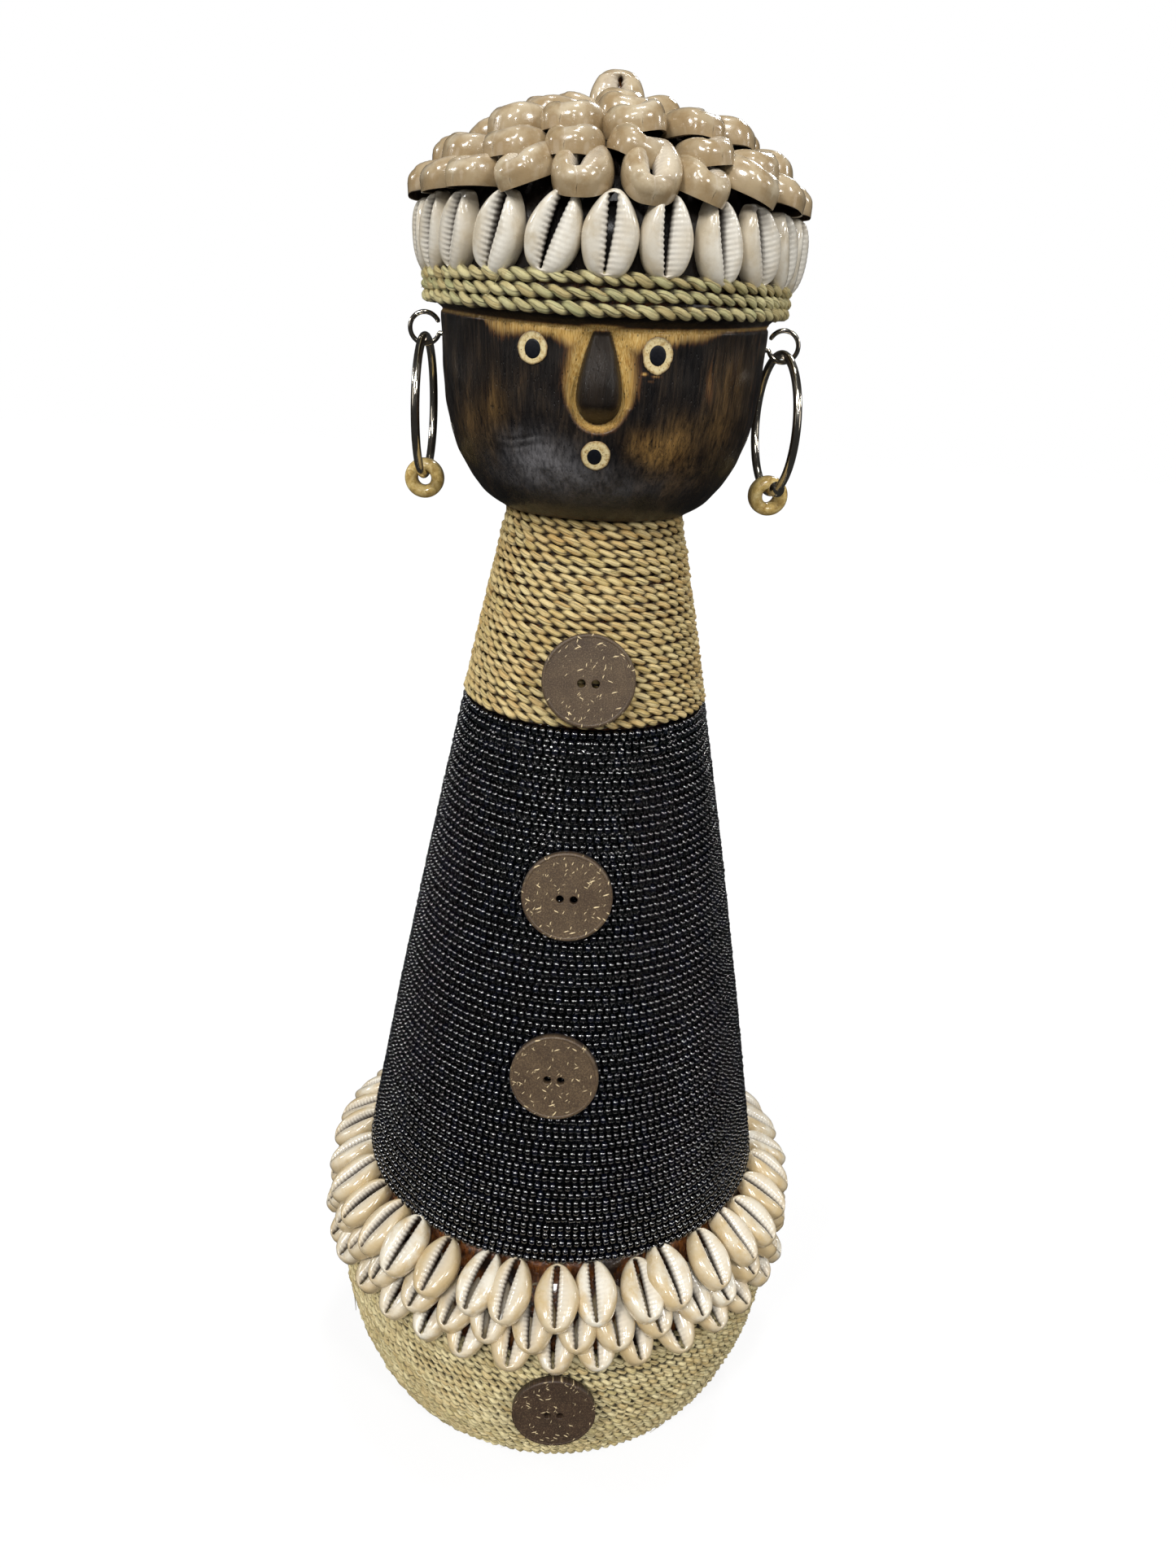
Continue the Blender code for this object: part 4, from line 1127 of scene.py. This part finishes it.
def make_head():
    """Bowl, brow, cap and dome in one block, with the nose standing in its scraped trench."""
    a, h, r = head_grid()
    lifted = BAND_RISE * np.sin(a) ** 2
    h = h + lifted * smooth(LEDGE - 16, LEDGE - 1, h) * smooth(LEDGE + 7, LEDGE + 1.2, h)
    brow, ledge = BROW + lifted, LEDGE + lifted
    x = r * np.sin(a)
    across = x + 0.5
    front = np.cos(a) > 0

    half = nose_half_width(h)
    u = np.clip((h - NOSE_LOW) / NOSE_TALL, 0, 1)
    is_nose = (half > 0.05) & (np.abs(across) < half) & front & (h < brow + 0.2)
    on_nose = np.clip(np.abs(across) / np.maximum(half, 0.05), 0, 1)
    rise = 5.6 * smooth(-0.02, 0.22, u) * (1 - 0.8 * smooth(0.2, 1.0, u))
    lift = np.where(is_nose, rise * np.sqrt(np.clip(1 - on_nose**2.3, 0, 1)), 0.0)

    widest = NOSE_LOW + NOSE_TALL * NOSE_WIDEST
    below = np.hypot(across, (h - widest) * 0.9) - NOSE_HALF
    distance = np.where(h < widest, below, np.abs(across) - half)
    upward = smooth(0.25, 0.85, u)
    reach = np.where(across < 0, 2.3 + 1.9 * upward, 2.7 + 2.6 * upward)
    reach = np.where(h < NOSE_LOW + 4, 2.1, reach)
    trench = smooth(reach, 0.0, distance) * smooth(brow + 0.8, brow - 1.4, h)
    trench_depth = 2.9 * trench * front * (0.45 + 0.55 * smooth(1.0, 0.2, u))

    groove = bell((h - brow + 0.006 * x) / 0.45) * smooth(-0.35, 0.2, np.cos(a))
    hollows = 0.14 * np.sin(a * 9 + h * 0.21) * np.sin(h * 0.34 - a * 4)
    hollows = hollows + 0.08 * np.sin(a * 23 + 2 * np.sin(h * 0.2))
    hollows = hollows * smooth(HEAD_LOW, HEAD_LOW + 5, h) * smooth(ledge, ledge - 4, h)
    crease = 0.0
    for level, size in ((20.8, 0.4), (18.8, 0.34)):
        line = (h - HEAD_LOW - level - 0.9 * np.sin(x * 0.35)) / 0.55
        crease = crease + size * bell(line) * bell((x + 19.0) / 5.5)
    r = r - trench_depth + lift - 0.5 * groove + hollows * (1 - trench) - crease * front
    points = np.stack([r * np.sin(a), -r * np.cos(a), h], -1)

    values = head_values(a, x, h, brow, ledge, 1.0 - is_nose, distance, reach)
    values["nose"] = is_nose * smooth(0.0, 0.5, half - np.abs(across))
    shape = Shape()
    shape.close(points, capped(*a.shape), **values)
    shape.make("carved_head", [WOOD], ("head_block",))


def inlay_disc(name, node, look, size, lift, ragged, dome, shift):
    """A thin disc set in the bowl where its CAD node is, moved by the shift."""
    middle = centre(node)
    steps = 48
    angle = TURN * np.arange(steps) / steps
    wobble = 0.5 * np.sin(3 * angle + middle[0]) + 0.35 * np.sin(7 * angle) + RNG.normal(0, 0.35, steps)
    wobble = 1 + ragged * wobble
    share = np.array([0.05, 0.3, 0.55, 0.75, 0.9, 0.96, 1.0, 1.0, 0.05])
    rise = lift + dome * (1 - share**2)
    rise[-4:] = lift - 0.02, lift - 0.12, -0.9, -0.9
    x = middle[0] + shift[0] + share[:, None] * np.cos(angle) * size[0] / 2 * wobble
    z = middle[2] + shift[1] + share[:, None] * np.sin(angle) * size[1] / 2 * wobble
    radius = bowl_radius(z) + rise[:, None]
    points = np.stack([x, -np.sqrt(radius**2 - x**2), z], -1)
    shape = Shape()
    shape.close(points, capped(len(share), steps), edge=np.repeat(share, steps))
    shape.make(name, [look], (node,))


def make_face():
    """Three pale rings, each with a blue-black centre: size, raggedness or dome, and shift."""
    for name, size, ragged, shift in (
        ("left_eye", (7.2, 7.5), 0.03, (-0.3, 0.0)),
        ("right_eye", (7.3, 8.5), 0.04, (0.0, 0.0)),
        ("mouth", (7.2, 7.15), 0.025, (0.0, 0.0)),
    ):
        inlay_disc(name + "_ring", name + "_disc", BONE, size, 0.25, ragged, 0.0, shift)
    for name, size, dome, shift in (
        ("left_eye", (3.9, 4.5), 0.2, (-0.25, -0.2)),
        ("right_eye", (4.0, 4.7), 0.2, (0.0, 0.0)),
        ("mouth", (3.6, 3.8), 0.15, (-0.3, -0.3)),
    ):
        inlay_disc(name + "_centre", name + "_pupil", PUPIL, size, 0.34, 0.01, dome, shift)


# ---------------------------------------------------------------- base core, buttons
def make_base():
    """The rounded wooden base with its shoulder; the rope hides it below the collar."""
    top = high("base_core")[2]
    steps = np.linspace(0.0, top - 12.0, 14)
    profile = [(2.0, 0.0)] + [(float(base_radius(z + 0.3)) - 0.2, float(z)) for z in steps]
    shoulder = FOOT_RADIUS - 1.0
    profile += [(shoulder + 1.8, top - 8.0), (shoulder + 0.6, top - 4.5), (shoulder, top - 1.5)]
    profile += [(shoulder - 2, top), (16.0, top), (16.0, top - 3), (2.0, top - 3)]
    shape = Shape()
    revolve(shape, profile, 96)
    shape.make("wooden_base", [CORE], ("base_core",))


def button_frame(index):
    """Centre, sideways, upward and outward direction, radius and thickness of a button.

    Its tilt follows from its box: tall = 2 r cos(t) + thick sin(t), deep = 2 r sin(t) + thick cos(t).
    """
    node = "button_%d" % index
    lowest, highest = low(node), high(node)
    middle = (lowest + highest) / 2
    radius, thick = half_width(node), 2.8
    deep, tall = highest[1] - lowest[1], highest[2] - lowest[2]
    tilts = np.radians(np.linspace(0, 45, 451))
    misfit = (2 * radius * np.cos(tilts) + thick * np.sin(tilts) - tall) ** 2
    misfit = misfit + (2 * radius * np.sin(tilts) + thick * np.cos(tilts) - deep) ** 2
    tilt = tilts[np.argmin(misfit)]
    turn = math.atan2(middle[0], -middle[1])
    out = np.array([math.sin(turn) * math.cos(tilt), -math.cos(turn) * math.cos(tilt), math.sin(tilt)])
    beside = np.array([math.cos(turn), math.sin(turn), 0.0])
    return middle, beside, np.cross(out, beside), out, radius, thick


def flat_plate(name, outlines, thick, bevel):
    """A flat mesh of round outlines (x, y, radius, points); those inside the first are holes."""
    curve = bpy.data.curves.new(name, "CURVE")
    curve.dimensions, curve.fill_mode = "2D", "BOTH"
    curve.extrude, curve.bevel_depth, curve.bevel_resolution = thick / 2 - bevel, bevel, 2
    for x, y, size, count in outlines:
        spline = curve.splines.new("POLY")
        spline.points.add(count - 1)
        for number, target in enumerate(spline.points):
            angle = TURN * number / count
            target.co = (x + size * math.cos(angle), y + size * math.sin(angle), 0.0, 1.0)
        spline.use_cyclic_u = True
    holder = bpy.data.objects.new(name, curve)
    bpy.context.scene.collection.objects.link(holder)
    bpy.context.view_layer.update()
    mesh = bpy.data.meshes.new_from_object(holder.evaluated_get(bpy.context.evaluated_depsgraph_get()))
    bpy.data.objects.remove(holder)
    bpy.data.curves.remove(curve)
    return mesh


def make_button(index, look):
    """Round flat coconut button with two open holes and a thin rounded rim."""
    node = "button_%d" % index
    middle, beside, up, out, radius, thick = button_frame(index)
    axes = np.stack([beside, up, out])
    seed = 7.3 * index
    bevel = 0.2
    outlines = [(0.0, 0.0, radius - 0.8, 96)]
    for x in (-BUTTON_HOLES_APART / 2, BUTTON_HOLES_APART / 2):
        outlines.append((x, -BUTTON_HOLES_LOW, BUTTON_HOLE / 2 + bevel, 24))
    mesh = flat_plate(node + "_outline", outlines, thick - 0.6, bevel)
    plate = np.array([vertex.co[:] for vertex in mesh.vertices])
    mesh.vertices.foreach_set("co", ((plate @ axes + middle) * MM).astype(np.float32).ravel())
    edge = smooth(0.9, 0.2, plate[:, 2])
    add_values(mesh, across=plate[:, 0], up=plate[:, 1], edge=edge, seed=np.full(len(plate), seed))
    mesh.materials.clear()
    mesh.shade_smooth()
    mesh.set_sharp_from_angle(angle=math.radians(40))
    add_piece("coconut_" + node, mesh, [look], (node,), "doll")

    half = thick / 2
    profile = [
        (radius - 1.2, 0.3 - half),
        (radius - 0.25, -half),
        (radius, 0.25 - half),
        (radius, half - 0.6),
        (radius - 0.2, half - 0.32),
        (radius - 0.55, half - 0.2),
        (radius - 0.95, half - 0.25),
        (radius - 1.2, half - 0.6),
    ]
    points, quads = turned(profile, 120, closed=True)
    edge = 0.3 + 0.6 * smooth(half - 0.3, 0.0, points[:, 2])
    rim = Shape()
    rim.close(points @ axes + middle, quads, across=points[:, 0], up=points[:, 1], edge=edge, seed=seed)
    rim.make("coconut_%s_rim" % node, [look])


# ---------------------------------------------------------------- earrings
def ring_path(middle, radius, axis_a, axis_b, start, end, count):
    angle = np.linspace(start, end, count)[:, None]
    return middle + radius * (np.cos(angle) * axis_a + np.sin(angle) * axis_b)


def make_screw_eye(side, name):
    """A bent wire ring, open near its top, on a shank that goes into the head."""
    node = name + "_screw_eye"
    lowest, highest = low(node), high(node)
    outer = (highest[2] - lowest[2]) / 2
    far = highest[0] if side > 0 else lowest[0]
    middle = np.array([far - side * outer, 0.0, (lowest[2] + highest[2]) / 2])
    toward, up = np.array([-side, 0.0, 0.0]), np.array([0.0, 0.0, 1.0])
    start, end = math.radians(-17), math.radians(-338)
    loop = ring_path(middle, outer - EYE_WIRE / 2, toward, up, start, end, 60)
    shank = np.array([[side * x, 0.0, loop[0][2]] for x in (31.0, 34.0, 37.0, 40.0)])
    line = np.concatenate([shank, loop])
    radii = np.full(len(line), EYE_WIRE / 2)
    radii[-2:] *= (0.9, 0.55)
    shape = Shape()
    tube(shape, line, radii, 12, np.tile([[0.0, -1.0, 0.0]], (len(line), 1)))
    shape.make(name + "_screw_eye_wire", [STEEL], (node,))


def make_hoop(name):
    """A wire hoop in its screw eye, with its ochre bead; the right one has a ball tip."""
    node, bead_node = name + "_hoop", name + "_hoop_bead"
    hinge = next(j for j in frame["joints"] if j["name"] == name + "_hoop_swing")
    axis = np.array(hinge["axis"], float)
    pivot = np.array(hinge["pos_m"], float) / MM
    lowest, highest = low(node), high(node)
    radius = (highest[2] - lowest[2]) / 2 - 1.1
    middle = np.array([pivot[0], pivot[1], (lowest[2] + highest[2]) / 2])
    down = np.array([0.0, 0.0, -1.0])
    front = normalised(np.cross(axis, -down))
    front = -front if front[1] > 0 else front
    path = ring_path(middle, radius, down, front, 0.0, TURN, 145)[:-1]
    hoop = Shape()
    tube(hoop, path, HOOP_WIRE / 2, 16, normalised(path - middle), closed=True)
    if name == "right":
        angle = math.radians(24)
        spot = middle + radius * (down * math.cos(angle) + front * math.sin(angle))
        along = -down * math.sin(angle) + front * math.cos(angle)
        profile = [(0.25, -2.2), (1.2, -1.9), (1.9, -1.1), (2.15, 0.0), (1.9, 1.1), (1.2, 1.9), (0.25, 2.2)]
        revolve(hoop, profile, 20, axes=axes_of(np.cross(along, axis), along), origin=spot)
    hoop.make(name + "_hoop_ring", [STEEL], (node,), body=name + "_hoop")

    outer = (high(bead_node)[2] - low(bead_node)[2]) / 2
    inner, half = 1.8, 3.0
    profile = []
    for step in range(20):
        a = TURN * step / 20
        bulge = (outer - inner) / 2 * math.cos(a) * (1 - 0.06 * math.cos(4 * a))
        profile.append(((inner + outer) / 2 + bulge, half * math.sin(a)))
    bead = Shape()
    axes = axes_of(np.cross(front, axis), front)
    revolve(bead, profile, 48, closed=True, axes=axes, origin=centre(bead_node))
    bead.make(name + "_ochre_bead", [OCHRE], (bead_node,), body=name + "_bead")


# ---------------------------------------------------------------- the object
make_base()
make_beads()
make_ropes()
make_row()
make_crown()
make_collar()
make_head()
make_face()
for number in (1, 2, 3):
    make_button(number, COCONUT)
make_button(4, DARK_COCONUT)
for side, name in ((-1, "left"), (1, "right")):
    make_screw_eye(side, name)
    make_hoop(name)
for node in ("body_core", "neck_dowel", "base_dowel"):
    for holder in frame["nodes"][node].material_slots:
        holder.link = "OBJECT"
        holder.material = CORE.material


# ---------------------------------------------------------------- floor, light, camera
def make_floor():
    """A pale floor that is lit a little from within, so that it stays white."""
    half = 3.0
    mesh = bpy.data.meshes.new("floor")
    corners = [(-half, -half, 0), (half, -half, 0), (half, half, 0), (-half, half, 0)]
    mesh.from_pydata(corners, [], [(0, 1, 2, 3)])
    floor = bpy.data.objects.new("floor", mesh)
    bpy.context.scene.collection.objects.link(floor)
    look = Look("pale_floor", Roughness=0.9, Specular_IOR_Level=0.0, Emission_Strength=0.84)
    look.set(Base_Color=look.mix(look.noise(60.0), srgb(112, 112, 112), srgb(108, 108, 109)))
    look.set(Emission_Color=(1.0, 1.0, 1.0, 1.0))
    mesh.materials.append(look.material)
    floor.visible_diffuse = False
    floor.visible_glossy = False


def area_light(name, place, target, size, power, colour=(1.0, 1.0, 1.0)):
    lamp = bpy.data.lights.new(name, "AREA")
    lamp.shape, lamp.size, lamp.energy, lamp.color = "DISK", size, power, colour
    holder = bpy.data.objects.new(name, lamp)
    holder.location = place
    holder.rotation_euler = (Vector(target) - Vector(place)).to_track_quat("-Z", "Y").to_euler()
    bpy.context.scene.collection.objects.link(holder)


def sun_light(name, source, width, power, colour):
    """Parallel light from a direction, width degrees across."""
    lamp = bpy.data.lights.new(name, "SUN")
    lamp.angle, lamp.energy, lamp.color = math.radians(width), power, colour
    holder = bpy.data.objects.new(name, lamp)
    holder.rotation_euler = Vector(source).to_track_quat("Z", "Y").to_euler()
    bpy.context.scene.collection.objects.link(holder)


def make_light():
    """Soft lamps in a dim room; only the camera itself sees the room as white."""
    world = bpy.data.worlds.new("studio")
    world.use_nodes = True
    tree = world.node_tree
    seen = tree.nodes.new("ShaderNodeLightPath")
    shade = tree.nodes["Background"]
    shade.inputs["Color"].default_value = (1.0, 1.0, 1.0, 1.0)
    shade.inputs["Strength"].default_value = 0.3
    for name, strength in (("Is Glossy Ray", 0.03), ("Is Camera Ray", 1.0)):
        other = tree.nodes.new("ShaderNodeBackground")
        other.inputs["Color"].default_value = (1.0, 1.0, 1.0, 1.0)
        other.inputs["Strength"].default_value = strength
        mixed = tree.nodes.new("ShaderNodeMixShader")
        tree.links.new(seen.outputs[name], mixed.inputs[0])
        tree.links.new(shade.outputs[0], mixed.inputs[1])
        tree.links.new(other.outputs[0], mixed.inputs[2])
        shade = mixed
    tree.links.new(shade.outputs[0], tree.nodes["World Output"].inputs["Surface"])
    bpy.context.scene.world = world
    sun_light("key", (-0.5, -0.8, 0.7), 13.0, 1.6, (1.0, 0.985, 0.96))
    sun_light("fill", (0.62, -0.7, 0.6), 11.0, 0.8, (1.0, 0.98, 0.95))
    sun_light("top", (0.05, 0.1, 1.0), 8.0, 0.5, (1.0, 1.0, 1.0))
    sun_light("back", (0.35, 0.85, 0.6), 8.0, 0.8, (1.0, 1.0, 1.0))
    sun_light("side_left", (-1.0, 0.15, 0.4), 8.0, 0.35, (1.0, 1.0, 1.0))
    sun_light("side_right", (1.0, 0.15, 0.4), 8.0, 0.35, (1.0, 1.0, 1.0))
    sun_light("window", (0.0, -0.7, 0.85), 14.0, 0.8, (1.0, 1.0, 1.0))
    sun_light("spark", (0.0, -0.95, 0.45), 5.0, 0.25, (1.0, 1.0, 1.0))
    aim = (0.0, 0.0, 0.3)
    area_light("card_left", (-0.9, -0.5, 0.55), aim, 0.4, 0.5, (1.0, 0.97, 0.92))
    area_light("card_right", (0.9, -0.45, 0.5), aim, 0.4, 0.5, (1.0, 0.96, 0.9))


def make_camera():
    """A short lens in front of the face, looking down at the doll, slightly turned."""
    pitch, yaw, roll = math.radians(21.5), math.radians(0.4221), math.radians(3.2376)
    place = Vector((0.0, -0.335, 0.33835))
    ahead = Vector((math.sin(yaw) * math.cos(pitch), math.cos(yaw) * math.cos(pitch), -math.sin(pitch)))
    right = ahead.cross(Vector((0.0, 0.0, 1.0))).normalized()
    up = right.cross(ahead)
    across = right * math.cos(roll) + up * math.sin(roll)
    upward = up * math.cos(roll) - right * math.sin(roll)
    data = bpy.data.cameras.new("camera")
    data.sensor_fit, data.sensor_width, data.lens = "HORIZONTAL", 36.0, 36.07
    data.clip_start = 0.01
    camera = bpy.data.objects.new("camera", data)
    matrix = Matrix((across, upward, -ahead)).transposed().to_4x4()
    matrix.translation = place
    camera.matrix_world = matrix
    bpy.context.scene.collection.objects.link(camera)
    bpy.context.scene.camera = camera


make_floor()
make_light()
make_camera()
bpy.context.scene.view_settings.view_transform = "Standard"
